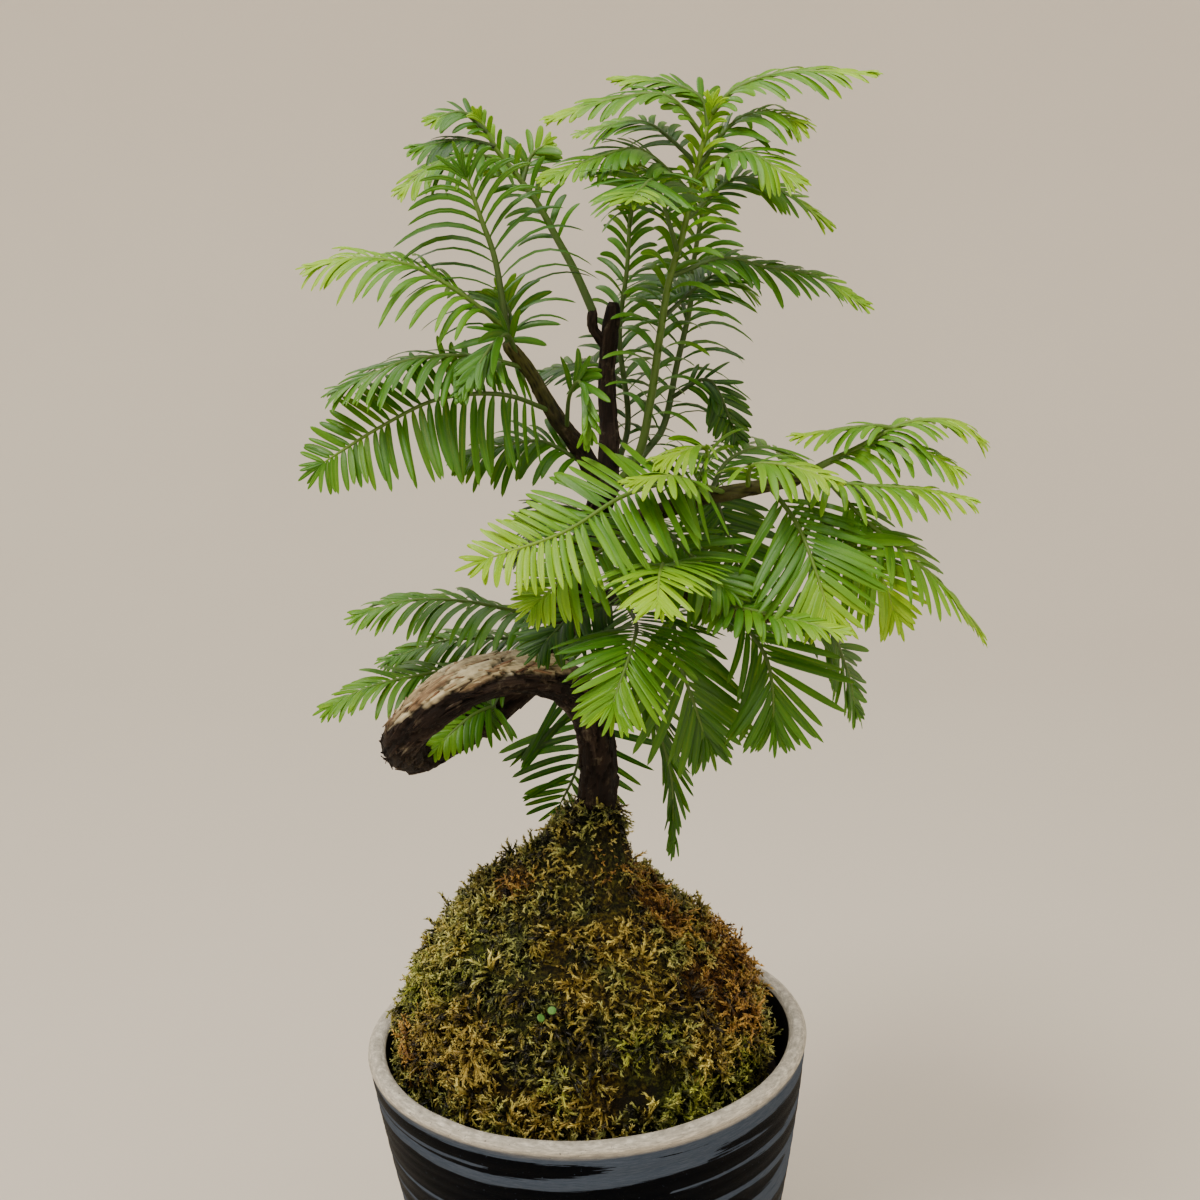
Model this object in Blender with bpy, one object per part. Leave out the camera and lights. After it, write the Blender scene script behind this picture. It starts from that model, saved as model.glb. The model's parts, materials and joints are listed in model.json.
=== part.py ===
"""Dawn redwood bonsai in a round glazed pot.

Metres, +Z up. The origin is the middle of the pot's flat base, and the front of the tree faces -Y.
Lengths are written in millimetres and times MM. The tree is one woody trunk that turns once round
in a corkscrew, with green leafy shoots seated on it. Each shoot has a slim stem with flat needles
in two ranks, in pairs.
"""

import math
from collections import namedtuple

import bmesh
import bpy
import numpy as np
from mathutils import Matrix, Vector, noise

MM = 0.001
GAP = 0.3  # between pieces that touch

# Pot: rim, wall and the taper of its side.
POT_HEIGHT = 80.0
RIM_RADIUS = 45.0
WALL = 3.6
FLOOR = 4.0
TAPER = 0.1175
TAPER_CURVE = 0.0389 / 40
EDGE_ROUND = 1.3
FOOT_ROUND = 1.2
FLOOR_ROUND = 2.0
POT_STEPS = 32
OUTER_HEIGHTS = (15.0, 30.0, 45.0, 60.0, 72.0)
INNER_HEIGHTS = (30.0, 60.0)
DRAIN_RADIUS = 3.5
DRAIN_CIRCLE = 14.0
DRAINS = 3

# Root ball and moss: half widths of the moss mound at heights above the base.
MOUND = ((68, 38.0), (74, 38.4), (80, 38.8), (86, 38.0), (92, 35.8), (97, 32.6), (102, 28.4),
         (107, 23.4), (110, 20.3), (114, 16.0), (118, 12.0), (121, 9.8), (124, 7.2))
MOSS_THICKNESS = 5.4
MOSS_LUMP = 1.5
MOSS_LUMP_SIZE = 6.0
FOOT_LUMP = 0.25  # share of the lumps that is left at the moss's foot
LUMP_FADE = 8.0  # height over which the lumps grow in above the foot and fade out at the trunk
SOIL_SHOULDER = 67.7  # where the moss stands on the soil
SOIL_GAP = 0.5
SOIL_TOP = 110.0
# How far the mound's middle stands to the right of the pot's at heights above the base.
LEANS = ((67.7, 0.0), (68, -1.0), (92, -1.0), (100, -2.2), (108, -3.0), (114, -3.6), (118, -2.0),
         (121, -0.3), (124, 2.0))
MOSS_STEPS = 28

# Trunk: points along its middle with the radius there, chosen by eye to follow the tree.
TRUNK_SIDES = 9
TWIG_SIDES = 6
TRUNK_STEP = 4.2
TWIG_STEP = 6.0
TRUNK = (
    (4, 0, 92, 4.3), (4, 0, 108, 4.0), (4, 0, 124, 3.8), (5, 0, 136, 3.7), (4, -1, 146, 3.7),
    (0, -5, 154, 3.8), (-6, -11, 158.5, 4.0), (-14, -17, 160, 4.1), (-22, -20, 157.5, 4.2),
    (-29, -18, 151.5, 4.1), (-32, -11, 145, 3.9), (-30, -3, 141.5, 3.7), (-23, 4, 142.5, 3.5),
    (-14, 9, 147.5, 3.4), (-6, 11, 153.5, 3.2), (-1, 9, 159.5, 3.1), (0, 6, 166, 2.9),
    (2, 3, 175, 2.7), (6, 1, 184, 2.5), (9, 0, 192, 2.4),
)
TWIGS = {
    "stub": ((9, 0, 190, 2.2), (10, 1, 200, 1.9), (10, 2, 212, 1.6), (11, 2, 220, 1.6), (12, 2, 226, 1.2)),
    "stub_fork": ((11, 2, 217, 1.1), (8, 2, 221, 0.9), (8, 2, 225, 0.9)),
    "left_branch": ((9, 0, 190, 2.0), (4, -2, 200, 1.7), (0, -4, 206, 1.5), (-4, -6, 214, 1.3),
                    (-8, -9, 220, 1.1)),
    "right_branch": ((6, 1, 182, 1.9), (14, -7, 186, 1.7), (24, -13, 190, 1.5), (34, -15, 192, 1.3),
                     (44, -13, 193, 1.1)),
    "low_branch": ((1, 5, 167, 1.8), (9, -5, 171, 1.6), (18, -13, 173, 1.4), (28, -17, 171, 1.2),
                   (38, -16, 168, 1.0)),
}
BARK_RIDGE = 0.28
RIDGE_AROUND = 3.1  # how fine the ridges are round the trunk
RIDGE_ALONG = 0.45  # and from one ring to the next
RIDGE_GAIN = 1.6

# Shoots: the node each belongs to, what it grows from and how far along that, the points it passes
# after its root, its needles' length, how far its flat side leans from facing up to facing the
# front, how much of its foot is bare, how far that lean is turned from the front to the right, how
# far every other pair is turned about the stem, its needles' angle with the stem, and how far they
# droop beside their length.
Shoot = namedtuple("Shoot", "node parent at route needle face bare turn twist angle hang",
                   defaults=(12, 40, 0.12, 0, 0, 60, 0.14))
SHOOTS = {
    "erect": Shoot("shoot_left_top", "left_branch", 0.97,
        ((-8, -10, 226), (-9, -11, 235), (-11, -12, 242), (-13, -12, 249)),
        19, 88, 0.06, angle=78, hang=0.18),
    "erect_foot": Shoot("shoot_left_top", "left_branch", 0.99,
        ((-7, -9, 222), (-7, -8, 225), (-8, -7, 228)), 11, 80, 0.1),
    "arch": Shoot("shoot_left_top", "erect", 0.1,
        ((-14, -12, 228), (-23, -13, 234), (-32, -14, 236), (-39, -15, 235)), 14, 22, 0.15, hang=0.4),
    "climber": Shoot("shoot_stub", "stub_fork", 0.95,
        ((5, 2, 232), (2, 2, 238), (-1, 2, 244), (-5, 2, 250), (-8, 2, 254), (-10, 2, 258),
         (-11, 2, 260)), 9, 70, 0.36, 0, 60, angle=66),
    "climber_tip": Shoot("shoot_stub", "climber", 0.93,
        ((-14, 1, 261), (-19, 0, 260)), 7, 30, 0.05),
    "climber_dark": Shoot("shoot_stub", "climber", 0.86,
        ((-14, -1, 256), (-22, -3, 255)), 8, 26, 0.1, angle=50, hang=0.25),
    "climber_light": Shoot("shoot_stub", "climber", 0.72,
        ((-11, -5, 253), (-18, -7, 252), (-24, -9, 248)), 9, 20, 0.1, hang=0.3),
    "climber_right": Shoot("shoot_stub", "climber", 0.66,
        ((-2, 3, 253), (1, 3, 255)), 7, 60, 0.2),
    "fan_left": Shoot("shoot_left_fan", "left_branch", 0.9,
        ((-7.5, -12.5, 221.5), (-10, -16, 220), (-13, -21, 216), (-15, -23, 213)),
        9, 72, 0.2, angle=30, hang=0.1),
    "left_high": Shoot("shoot_left_high", "left_branch", 0.82,
        ((-14, -13, 218), (-25, -17, 218), (-36, -19, 214)), 13, 16, hang=0.3),
    "left_mid": Shoot("shoot_left_mid", "left_branch", 0.55,
        ((-9, -13, 211), (-20, -16, 211), (-30, -18, 207), (-41, -20, 201)), 14, 58, angle=90),
    "left_low": Shoot("shoot_left_low", "left_branch", 0.17,
        ((-2, -4, 201), (-9, -5, 201), (-17, -6, 199)), 11, 34, 0.15, hang=0.3),
    "left_front": Shoot("shoot_left_front", "left_branch", 0.42,
        ((3, -12, 210), (5, -17, 213), (6, -21, 209), (6, -22, 205)), 10, 80, 0.45, angle=28, hang=0.1),
    "leader": Shoot("shoot_leader", "trunk", 0.985,
        ((15, -2, 197), (18, -3, 208), (20, -4, 219), (22, -5, 229), (25, -5, 238), (27, -5, 246),
         (29, -5, 253), (31, -5, 259)), 13, 80, 0.25, 0, 90, angle=72, hang=0.22),
    "top_right": Shoot("shoot_leader", "leader", 0.99,
        ((35, -7, 262), (42, -8, 264), (49, -9, 264), (57, -11, 263)), 9, 24, 0.05, angle=48, hang=0.2),
    "top_left": Shoot("shoot_leader", "leader", 0.96,
        ((29, -4, 261), (23, -3, 264), (15, -2, 265)), 7.5, 24, 0.1, angle=52),
    "top_front_left": Shoot("shoot_leader", "leader", 0.93,
        ((23, -8, 261), (14, -10, 261), (3, -13, 258)), 8.5, 22, 0.1, angle=48),
    "top_back_left": Shoot("shoot_leader", "leader", 0.87,
        ((19, 3, 258), (8, 7, 257)), 8, 25, 0.2),
    "second_right": Shoot("shoot_leader", "leader", 0.86,
        ((34, -5, 256), (40, -6, 258), (45, -8, 256)), 11, 20, 0.15, hang=0.4),
    "second_front": Shoot("shoot_leader", "leader", 0.82,
        ((35, -12, 251), (43, -16, 246)), 10, 24, 0.15, hang=0.25),
    "third_right": Shoot("shoot_leader", "leader", 0.74,
        ((35, -3, 247), (44, -2, 244), (51, 0, 239)), 9, 26, 0.15),
    "third_left": Shoot("shoot_leader", "leader", 0.8,
        ((18, -10, 252), (10, -13, 251), (2, -16, 248)), 9.5, 22, 0.1),
    "fourth_front": Shoot("shoot_leader", "leader", 0.66,
        ((20, -14, 246), (17, -23, 245), (15, -31, 243)), 14, 18, 0.2),
    "fifth_right": Shoot("shoot_leader", "leader", 0.6,
        ((32, -4, 233), (40, -4, 231), (49, -3, 229), (57, -2, 224)), 9.5, 24, 0.15),
    "sixth_back": Shoot("shoot_leader", "leader", 0.5,
        ((31, 1, 230), (37, 5, 227)), 10, 25, 0.2),
    "second_stem": Shoot("shoot_second", "trunk", 0.97,
        ((17, 7, 197), (21, 10, 202), (24, 13, 213), (27, 14, 224), (28, 15, 232), (30, 14, 242),
         (31, 13, 248)), 16, 75, 0.25, 0, 60, angle=76, hang=0.3),
    "second_drooping": Shoot("shoot_second", "second_stem", 0.4,
        ((30, 9, 210), (35, 8, 199)), 7.5, 40, 0.2),
    "second_back": Shoot("shoot_second", "second_stem", 0.62,
        ((24, 23, 230), (18, 33, 228)), 12, 30, 0.15),
    "third_stem": Shoot("shoot_third", "trunk", 0.94,
        ((12, 9, 196), (14, 11, 204), (13, 12, 219), (15, 12, 232), (16, 12, 243), (16, 11, 250)),
        12, 60, 0.2, 0, 80, angle=72),
    "third_back": Shoot("shoot_third", "third_stem", 0.45,
        ((7, 19, 214), (-2, 26, 212)), 11, 25, 0.15),
    "crown": Shoot("shoot_third", "third_stem", 0.86,
        ((17, 4, 248), (16, -3, 250)), 12, 30, 0.15, hang=0.3),
    "right_far": Shoot("shoot_right_far", "right_branch", 1,
        ((48, -11, 195), (55, -11, 198), (64, -10, 202), (73, -9, 202), (77, -9, 199)),
        10, 8, 0.2, hang=0.4),
    "right_far_left": Shoot("shoot_right_far", "right_far", 0.55,
        ((57, -11, 202), (45, -12, 201)), 8.5, 10, 0.1, angle=48, hang=0.25),
    "right_far_low": Shoot("shoot_right_far", "right_far", 0.4,
        ((65, -13, 198), (72, -14, 194)), 8.5, 12, 0.1, hang=0.3),
    "right_side": Shoot("shoot_right_far", "right_far", 0.06,
        ((50, -18, 193), (58, -19, 192), (66, -19, 191), (73, -19, 189)), 8.5, 10, 0.15, hang=0.4),
    "right_hanging": Shoot("shoot_right_far", "right_far", 0.12,
        ((55, -17, 186), (63, -21, 179), (70, -20, 172), (75, -18, 165)), 10, 14, 0.2, hang=0.25),
    "right_middle": Shoot("shoot_right_far", "right_far", 0.02,
        ((46, -17, 188), (52, -22, 182), (57, -24, 176), (59, -24, 170)), 13, 42, 0.15),
    "right_fan": Shoot("shoot_right_fan", "right_branch", 0.87,
        ((42, -22, 187), (44, -28, 181), (46, -32, 173)), 16, 58, 0.15),
    "right_up": Shoot("shoot_right_up", "right_branch", 0.55,
        ((27, -17, 200), (19, -20, 199)), 9.5, 14, 0.15, hang=0.35),
    "right_up_far": Shoot("shoot_right_up_far", "right_branch", 0.78,
        ((35, -20, 197), (41, -23, 197), (47, -26, 195)), 9.5, 14, 0.15, hang=0.35),
    "right_front": Shoot("shoot_right_front", "right_branch", 0.7,
        ((22, -22, 195), (12, -28, 194), (1, -34, 189), (-12, -39, 186)), 14, 44, angle=86),
    "right_up_mid": Shoot("shoot_right_front", "right_front", 0.13,
        ((20, -29, 197), (14, -32, 197)), 9, 16, 0.15, angle=50, hang=0.3),
    "right_back": Shoot("shoot_right_back", "right_branch", 0.62,
        ((32, -4, 196), (40, 6, 197), (47, 15, 193)), 12, 25),
    "inner_right": Shoot("shoot_right_back", "right_back", 0.15,
        ((30, -6, 187), (33, -4, 177), (34, -5, 168)), 13, 65, 0.15),
    "front_mid": Shoot("shoot_front_mid", "right_branch", 0.42,
        ((13, -20, 186), (5, -28, 183), (-4, -33, 177)), 14, 40, 0.2, angle=74),
    "inner_mid": Shoot("shoot_front_mid", "front_mid", 0.12,
        ((22, -20, 183), (26, -23, 179), (29, -26, 176)), 13, 50, 0.2),
    "front_low": Shoot("shoot_front_low", "low_branch", 0.48,
        ((18, -26, 181), (17, -38, 182), (16, -47, 179)), 15, 35),
    "front_lower": Shoot("shoot_front_lower", "low_branch", 0.34,
        ((13, -22, 170), (12, -35, 169), (8, -43, 161)), 17, 60, 0.15, angle=66),
    "front_under": Shoot("shoot_front_lower", "front_lower", 0.1,
        ((6, -16, 172), (1, -21, 171), (-4, -25, 167)), 12, 30, 0.15),
    "low_right": Shoot("shoot_low_right", "low_branch", 0.7,
        ((31, -27, 173), (39, -33, 172), (47, -36, 170)), 8.5, 20),
    "low_fan": Shoot("shoot_low_fan", "low_branch", 0.85,
        ((36, -22, 163), (37, -25, 157), (37, -25, 151)), 16, 78, angle=50, hang=0.04),
    "low_far": Shoot("shoot_low_far", "low_branch", 1,
        ((48, -12, 166), (53, -8, 156), (55, -6, 147)), 10, 60, 0.12, 45),
    "low_hanging": Shoot("shoot_low_hanging", "low_branch", 0.58,
        ((21, -18, 161), (23, -19, 154), (25, -19, 147)), 16, 75, 0.15, angle=52),
    "low_inner": Shoot("shoot_low_inner", "low_branch", 0.2,
        ((12, -7, 158), (16, -7, 148), (19, -8, 136), (19, -9, 124)),
        12, 85, 0.15, -55, angle=36, hang=0.08),
    "low_back": Shoot("shoot_low_back", "low_branch", 0.66,
        ((31, 4, 164), (40, 14, 159)), 11, 35, 0.15),
    "inner_low": Shoot("shoot_low_back", "low_back", 0.12,
        ((26, -5, 175), (28, 1, 180), (30, 6, 184)), 12, 55, 0.15),
    "rear_right": Shoot("shoot_rear_right", "trunk", 0.9,
        ((8, 12, 178), (14, 24, 181), (18, 36, 177)), 12, 20),
    "rear_left": Shoot("shoot_rear_left", "trunk", 0.94,
        ((-1, 8, 184), (-6, 17, 180), (-10, 26, 173)), 10, 25),
    "inner_left": Shoot("shoot_inner_left", "trunk", 0.965,
        ((1, -6, 189), (-2, -11, 189), (-6, -15, 188)), 8.5, 25, 0.2),
    "side_high": Shoot("shoot_side_high", "trunk", 0.85,
        ((-8, 3, 167), (-19, 2, 170), (-30, 1, 171), (-39, 0, 169)), 12, 18, hang=0.35),
    "side_mid": Shoot("shoot_side_mid", "trunk", 0.83,
        ((-9, 11, 160), (-24, 12, 160), (-36, 11, 157)), 11, 20, hang=0.3),
    "side_low": Shoot("shoot_side_low", "trunk", 0.78,
        ((-12, 7, 155), (-24, 3, 156), (-38, -2, 155), (-46, -4, 152)), 11, 24, 0.15, hang=0.25),
    "in_loop": Shoot("shoot_in_loop", "trunk", 0.69,
        ((-15, 0, 149), (-19, -5, 149), (-25, -9, 145)), 9, 60, 0.15),
    "behind": Shoot("shoot_behind", "trunk", 0.76,
        ((-2, 16, 147), (2, 18, 140), (0, 18, 129), (-4, 18, 121)), 18, 85, 0.25, angle=84, hang=0.16),
}
SHOOT_RADIUS = 0.85
STEM_RADII = {"erect": 0.95, "climber": 1.05, "leader": 1.25, "second_stem": 1.05, "third_stem": 0.95,
              "right_far": 0.9}
TIP_SHARE = 0.75  # a shoot's radius at its tip beside that at its foot
SHOOT_SIDES = 4
STEM_STEP = 8.0
STEM_AIR = 0.1
AIM = 0.5  # half the stretch over which a path's direction is read

# Needles: spacing of the pairs along a shoot, and one needle's section.
PAIR_SPACING = 6.6
PAIR_OFFSET = 0.2  # the two of a pair aren't quite opposite
NEEDLE_WIDTH = 1.6
NEEDLE_THICKNESS = 0.8
ROOT_WIDTH = 0.75
ROOT_THICKNESS = 0.45
SHOULDER = 0.7  # where along a needle its point begins
ANGLE_CLOSING = 30
NEEDLE_RISE = -0.14  # how far needles hang below their shoot's flat side
TIP_RISE = 0.3  # and how far they come up again towards its tip
FOOT_NEEDLE = 0.62  # a needle's length beside the longest, at the shoot's foot
FULL_FROM = 0.3  # and where along the shoot the longest begin
SHORTER_FROM = 0.45
TIP_LOSS = 0.55
TIP_CURVE = 1.4
TIP_SINK = 0.4  # how deep the last needle's root lies in the stem

# Where a needle would touch another node it is turned, then shortened, then left out.
TURNS = ((0, 0), (0, 15), (0, -15), (15, 0), (-15, 0), (15, 18), (-15, 18), (15, -18), (-15, -18),
         (0, 32), (0, -32), (28, 0), (-28, 0))
SHARES = (1.0, 0.8, 0.62)
NEEDLE_REACH = 0.85  # half a needle's width, with a little air
OWN_REACH = 0.1
FOOT_SHARE = 0.3  # the part of a needle that may lie by its own shoot
SAMPLES = 12
FIRST_SAMPLE = 0.1

MATERIALS = {
    "glaze": ((0.045, 0.055, 0.075), 0.35),
    "soil": ((0.05, 0.032, 0.02), 0.95),
    "moss": ((0.13, 0.115, 0.03), 0.95),
    "bark": ((0.1, 0.062, 0.042), 0.9),
    "leaf": ((0.13, 0.3, 0.03), 0.5),
}


def clear_scene():
    for obj in list(bpy.data.objects):
        bpy.data.objects.remove(obj, do_unlink=True)


def material(name):
    """The Principled material of that name, made on first use."""
    if name in bpy.data.materials:
        return bpy.data.materials[name]
    colour, roughness = MATERIALS[name]
    made = bpy.data.materials.new(name)
    made.use_nodes = True
    shader = made.node_tree.nodes["Principled BSDF"]
    shader.inputs["Base Color"].default_value = (*colour, 1.0)
    shader.inputs["Roughness"].default_value = roughness
    shader.inputs["Metallic"].default_value = 0.0
    return made


def add_object(name, vertices, faces, look, collection=None):
    """A mesh object from points in millimetres."""
    mesh = bpy.data.meshes.new(name)
    mesh.from_pydata([tuple(float(c) * MM for c in v) for v in vertices], [], faces)
    mesh.materials.append(material(look))
    obj = bpy.data.objects.new(name, mesh)
    (collection or bpy.context.scene.collection).objects.link(obj)
    return obj


def as_cutter(obj):
    obj.hide_render = True
    obj.display_type = "WIRE"
    return obj


def boolean(obj, operation, other=None, group=None):
    """Joins to, or cuts from, an object another one or a collection, and applies it."""
    step = obj.modifiers.new(operation.lower(), "BOOLEAN")
    step.operation = operation
    step.solver = "EXACT"
    if group:
        step.operand_type = "COLLECTION"
        step.collection = group
    else:
        step.object = other
    graph = bpy.context.evaluated_depsgraph_get()
    graph.update()
    made = bpy.data.meshes.new_from_object(obj.evaluated_get(graph))
    obj.modifiers.clear()
    obj.data = made


def join_group(first, group):
    """One union of an object with a collection, whose objects are then removed."""
    boolean(first, "UNION", group=group)
    for obj in list(group.objects):
        bpy.data.objects.remove(obj, do_unlink=True)
    bpy.data.collections.remove(group)


def keep_largest(obj):
    """Drops loose scraps that a cut has left."""
    bm = bmesh.new()
    bm.from_mesh(obj.data)
    unseen = set(bm.verts)
    groups = []
    while unseen:
        queue = [unseen.pop()]
        found = []
        while queue:
            vert = queue.pop()
            found.append(vert)
            for edge in vert.link_edges:
                other = edge.other_vert(vert)
                if other in unseen:
                    unseen.remove(other)
                    queue.append(other)
        groups.append(found)
    groups.sort(key=len)
    bmesh.ops.delete(bm, geom=[v for group in groups[:-1] for v in group], context="VERTS")
    bm.to_mesh(obj.data)
    bm.free()


def turned(name, profile, steps, look, shift=None, lump=None):
    """A solid turned round Z from a profile of (radius, height) that runs up its side."""
    vertices = []
    for radius, height in profile:
        for k in range(steps):
            angle = 2 * math.pi * k / steps
            grown = radius + (lump(radius, height, angle) if lump else 0.0)
            moved = shift(height) if shift else 0.0
            vertices.append((grown * math.cos(angle) + moved, grown * math.sin(angle), height))
    faces = []
    for i in range(len(profile) - 1):
        for k in range(steps):
            m = (k + 1) % steps
            faces.append((i * steps + k, i * steps + m, (i + 1) * steps + m, (i + 1) * steps + k))
    faces.append(tuple(reversed(range(steps))))
    last = (len(profile) - 1) * steps
    faces.append(tuple(range(last, last + steps)))
    return add_object(name, vertices, faces, look)


def round_cutter(name, x, y, ends, sides=16):
    """A hidden straight or tapered cutter about a vertical line, from its two ends' (radius, height)."""
    cutter = turned(name, ends, sides, "soil")
    cutter.data.transform(Matrix.Translation((x * MM, y * MM, 0.0)))
    return as_cutter(cutter)


def pot_radius(height):
    """The pot's outer radius at a height above its base."""
    depth = POT_HEIGHT - height
    return RIM_RADIUS - TAPER * depth - TAPER_CURVE * depth * depth


def build_pot():
    """A tapered pot with a round lip, a flat floor and drain holes."""
    foot = pot_radius(FOOT_ROUND)
    outer = [(foot - FOOT_ROUND, 0.0), (foot - 0.3 * FOOT_ROUND, 0.3 * FOOT_ROUND), (foot, FOOT_ROUND)]
    outer += [(pot_radius(height), height) for height in OUTER_HEIGHTS]
    lip = WALL / 2
    for degrees in (0, 30, 60, 90):
        angle = math.radians(degrees)
        height = POT_HEIGHT - EDGE_ROUND * (1 - math.sin(angle))
        outer.append((RIM_RADIUS - lip * (1 - math.cos(angle)), height))
    pot = turned("pot", outer, POT_STEPS, "glaze")
    wall = pot_radius(FLOOR) - WALL
    inside = [(wall - FLOOR_ROUND, FLOOR), (wall, FLOOR + FLOOR_ROUND)]
    inside += [(pot_radius(height) - WALL, height) for height in INNER_HEIGHTS]
    inside.append((RIM_RADIUS - WALL, POT_HEIGHT - EDGE_ROUND))
    inside.append((RIM_RADIUS - lip, POT_HEIGHT + EDGE_ROUND))
    boolean(pot, "DIFFERENCE", as_cutter(turned("pot_inside_cutter", inside, POT_STEPS, "glaze")))
    for k in range(DRAINS):
        angle = math.radians(90 + 360 / DRAINS * k)
        x, y = DRAIN_CIRCLE * math.cos(angle), DRAIN_CIRCLE * math.sin(angle)
        ends = ((DRAIN_RADIUS, -FLOOR), (DRAIN_RADIUS, 2 * FLOOR))
        boolean(pot, "DIFFERENCE", round_cutter(f"drain_cutter_{k}", x, y, ends))
    pot.data.shade_smooth()
    pot.data.set_sharp_from_angle(angle=math.radians(40))
    return pot


def mound_shift(height):
    """The mound leans to the left of the trunk, and comes back to it at the top."""
    heights, shifts = zip(*LEANS)
    return float(np.interp(height, heights, shifts))


def moss_lump(radius, height, angle):
    """Soft lumps on the moss, fading out at its foot and at the trunk."""
    foot = min(1.0, FOOT_LUMP + (height - MOUND[0][0]) / LUMP_FADE)
    top = min(1.0, max(0.0, (MOUND[-1][0] - height) / LUMP_FADE))
    where = Vector((radius * math.cos(angle), radius * math.sin(angle), height)) / MOSS_LUMP_SIZE
    return MOSS_LUMP * foot * top * (noise.noise(where) + 0.5 * noise.noise(2.3 * where))


def soil_mound(grow):
    """The profile of the soil's mound, or of the hollow in the moss over it."""
    inset = MOSS_THICKNESS - grow
    return [(radius - inset, height + grow) for height, radius in MOUND if height <= SOIL_TOP]


def build_soil():
    """The root ball: it fills the pot and rises in a mound, with a plain hole for the trunk."""
    floor = FLOOR + GAP
    wall = pot_radius(FLOOR) - WALL - GAP
    profile = [(wall - FLOOR_ROUND, floor), (wall, floor + FLOOR_ROUND)]
    for height in (*INNER_HEIGHTS, SOIL_SHOULDER):
        profile.append((pot_radius(height) - WALL - SOIL_GAP, height))
    profile += soil_mound(0.0)
    soil = turned("soil", profile, MOSS_STEPS, "soil", mound_shift)
    x, y, foot, radius = TRUNK[0]
    hole = radius + GAP + BARK_RIDGE
    ends = ((hole, foot - GAP), (hole, SOIL_TOP + FLOOR))
    boolean(soil, "DIFFERENCE", round_cutter("soil_hole_cutter", x, y, ends))
    return soil


def build_moss():
    """The moss cover: an open shell over the mound with a hole round the trunk."""
    outer = [(radius, float(height)) for height, radius in MOUND]
    moss = turned("moss", outer, MOSS_STEPS, "moss", mound_shift, moss_lump)
    hollow = soil_mound(GAP)
    hollow = [(hollow[0][0], hollow[0][1] - MOSS_THICKNESS)] + hollow
    cutter = turned("moss_hollow_cutter", hollow, MOSS_STEPS, "moss", mound_shift)
    boolean(moss, "DIFFERENCE", as_cutter(cutter))
    x, y, top, radius = TRUNK[2]
    wide, narrow = TRUNK[1][3] + 2 * GAP + BARK_RIDGE, radius + GAP + BARK_RIDGE
    ends = ((wide, TRUNK[1][2]), (narrow, top + GAP))
    boolean(moss, "DIFFERENCE", round_cutter("moss_hole_cutter", x, y, ends))
    return moss


def smooth(points, step):
    """Points about a step apart on a Catmull-Rom curve through the given ones."""
    given = np.array(points, float)
    ends = np.vstack([2 * given[0] - given[1], given, 2 * given[-1] - given[-2]])
    out = []
    for a, b, c, d in zip(ends, ends[1:], ends[2:], ends[3:]):
        count = max(1, int(round(np.linalg.norm((c - b)[:3]) / step)))
        for t in np.arange(count) / count:
            out.append(0.5 * (2 * b + (c - a) * t + (2 * a - 5 * b + 4 * c - d) * t * t
                              + (3 * b - a - 3 * c + d) * t ** 3))
    out.append(given[-1])
    return np.array(out)


def distances(path):
    """How far along its path each point lies."""
    return np.concatenate([[0.0], np.cumsum(np.linalg.norm(np.diff(path[:, :3], axis=0), axis=1))])


def along(path, distance):
    """The point at a distance along a path, and the direction there."""
    run = distances(path)

    def point(at):
        return np.array([np.interp(at, run, path[:, k]) for k in range(3)])

    direction = point(min(distance + AIM, run[-1])) - point(max(distance - AIM, 0.0))
    return point(distance), direction / np.linalg.norm(direction)


def unit(vector):
    return vector / np.linalg.norm(vector)


def frames(path, flat=None):
    """Two steady side directions at each point of a path, the first square to its flat side's normal."""
    tangents = np.gradient(path[:, :3], axis=0)
    tangents /= np.linalg.norm(tangents, axis=1)[:, None]
    if flat is None:
        flat = np.array([0.0, 1.0, 0.0]) if abs(tangents[0][1]) < 0.9 else np.array([1.0, 0.0, 0.0])
    side = unit(np.cross(flat, tangents[0]))
    out = []
    for tangent in tangents:
        side = unit(side - tangent * np.dot(side, tangent))
        out.append((side, np.cross(tangent, side)))
    return out


def tube(name, path, sides, look, grow=0.0, ridge=0.0, collection=None, flat=None):
    """A closed tube along a path of (x, y, z, radius). Ridges run along it, and grow widens it all over."""
    vertices = []
    for i, (point, (side, up)) in enumerate(zip(path, frames(path, flat))):
        for k in range(sides):
            angle = 2 * math.pi * (k + 0.5) / sides
            cos, sin = math.cos(angle), math.sin(angle)
            where = Vector((RIDGE_AROUND * cos, RIDGE_AROUND * sin, RIDGE_ALONG * i))
            radius = point[3] + grow + ridge * RIDGE_GAIN * noise.noise(where)
            vertices.append(point[:3] + radius * (cos * side + sin * up))
    faces = []
    for i in range(len(path) - 1):
        for k in range(sides):
            m = (k + 1) % sides
            faces.append((i * sides + k, i * sides + m, (i + 1) * sides + m, (i + 1) * sides + k))
    faces.append(tuple(reversed(range(sides))))
    faces.append(tuple(range(len(path) * sides - sides, len(path) * sides)))
    return add_object(name, vertices, faces, look, collection)


def wood_paths():
    paths = {"trunk": smooth(TRUNK, TRUNK_STEP)}
    for name, points in TWIGS.items():
        paths[name] = smooth(points, TWIG_STEP)
    return paths


def build_wood(name, paths, grow=0.0):
    """The trunk with its stub and twigs, joined in one body. A widened copy of it is the shoots' cutter."""
    group = bpy.data.collections.new(name + "_parts")
    bpy.context.scene.collection.children.link(group)
    trunk = tube(name, paths["trunk"], TRUNK_SIDES, "bark", grow, BARK_RIDGE)
    for twig in TWIGS:
        tube(twig, paths[twig], TWIG_SIDES, "bark", grow, 0.0, group)
    join_group(trunk, group)
    return trunk


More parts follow.
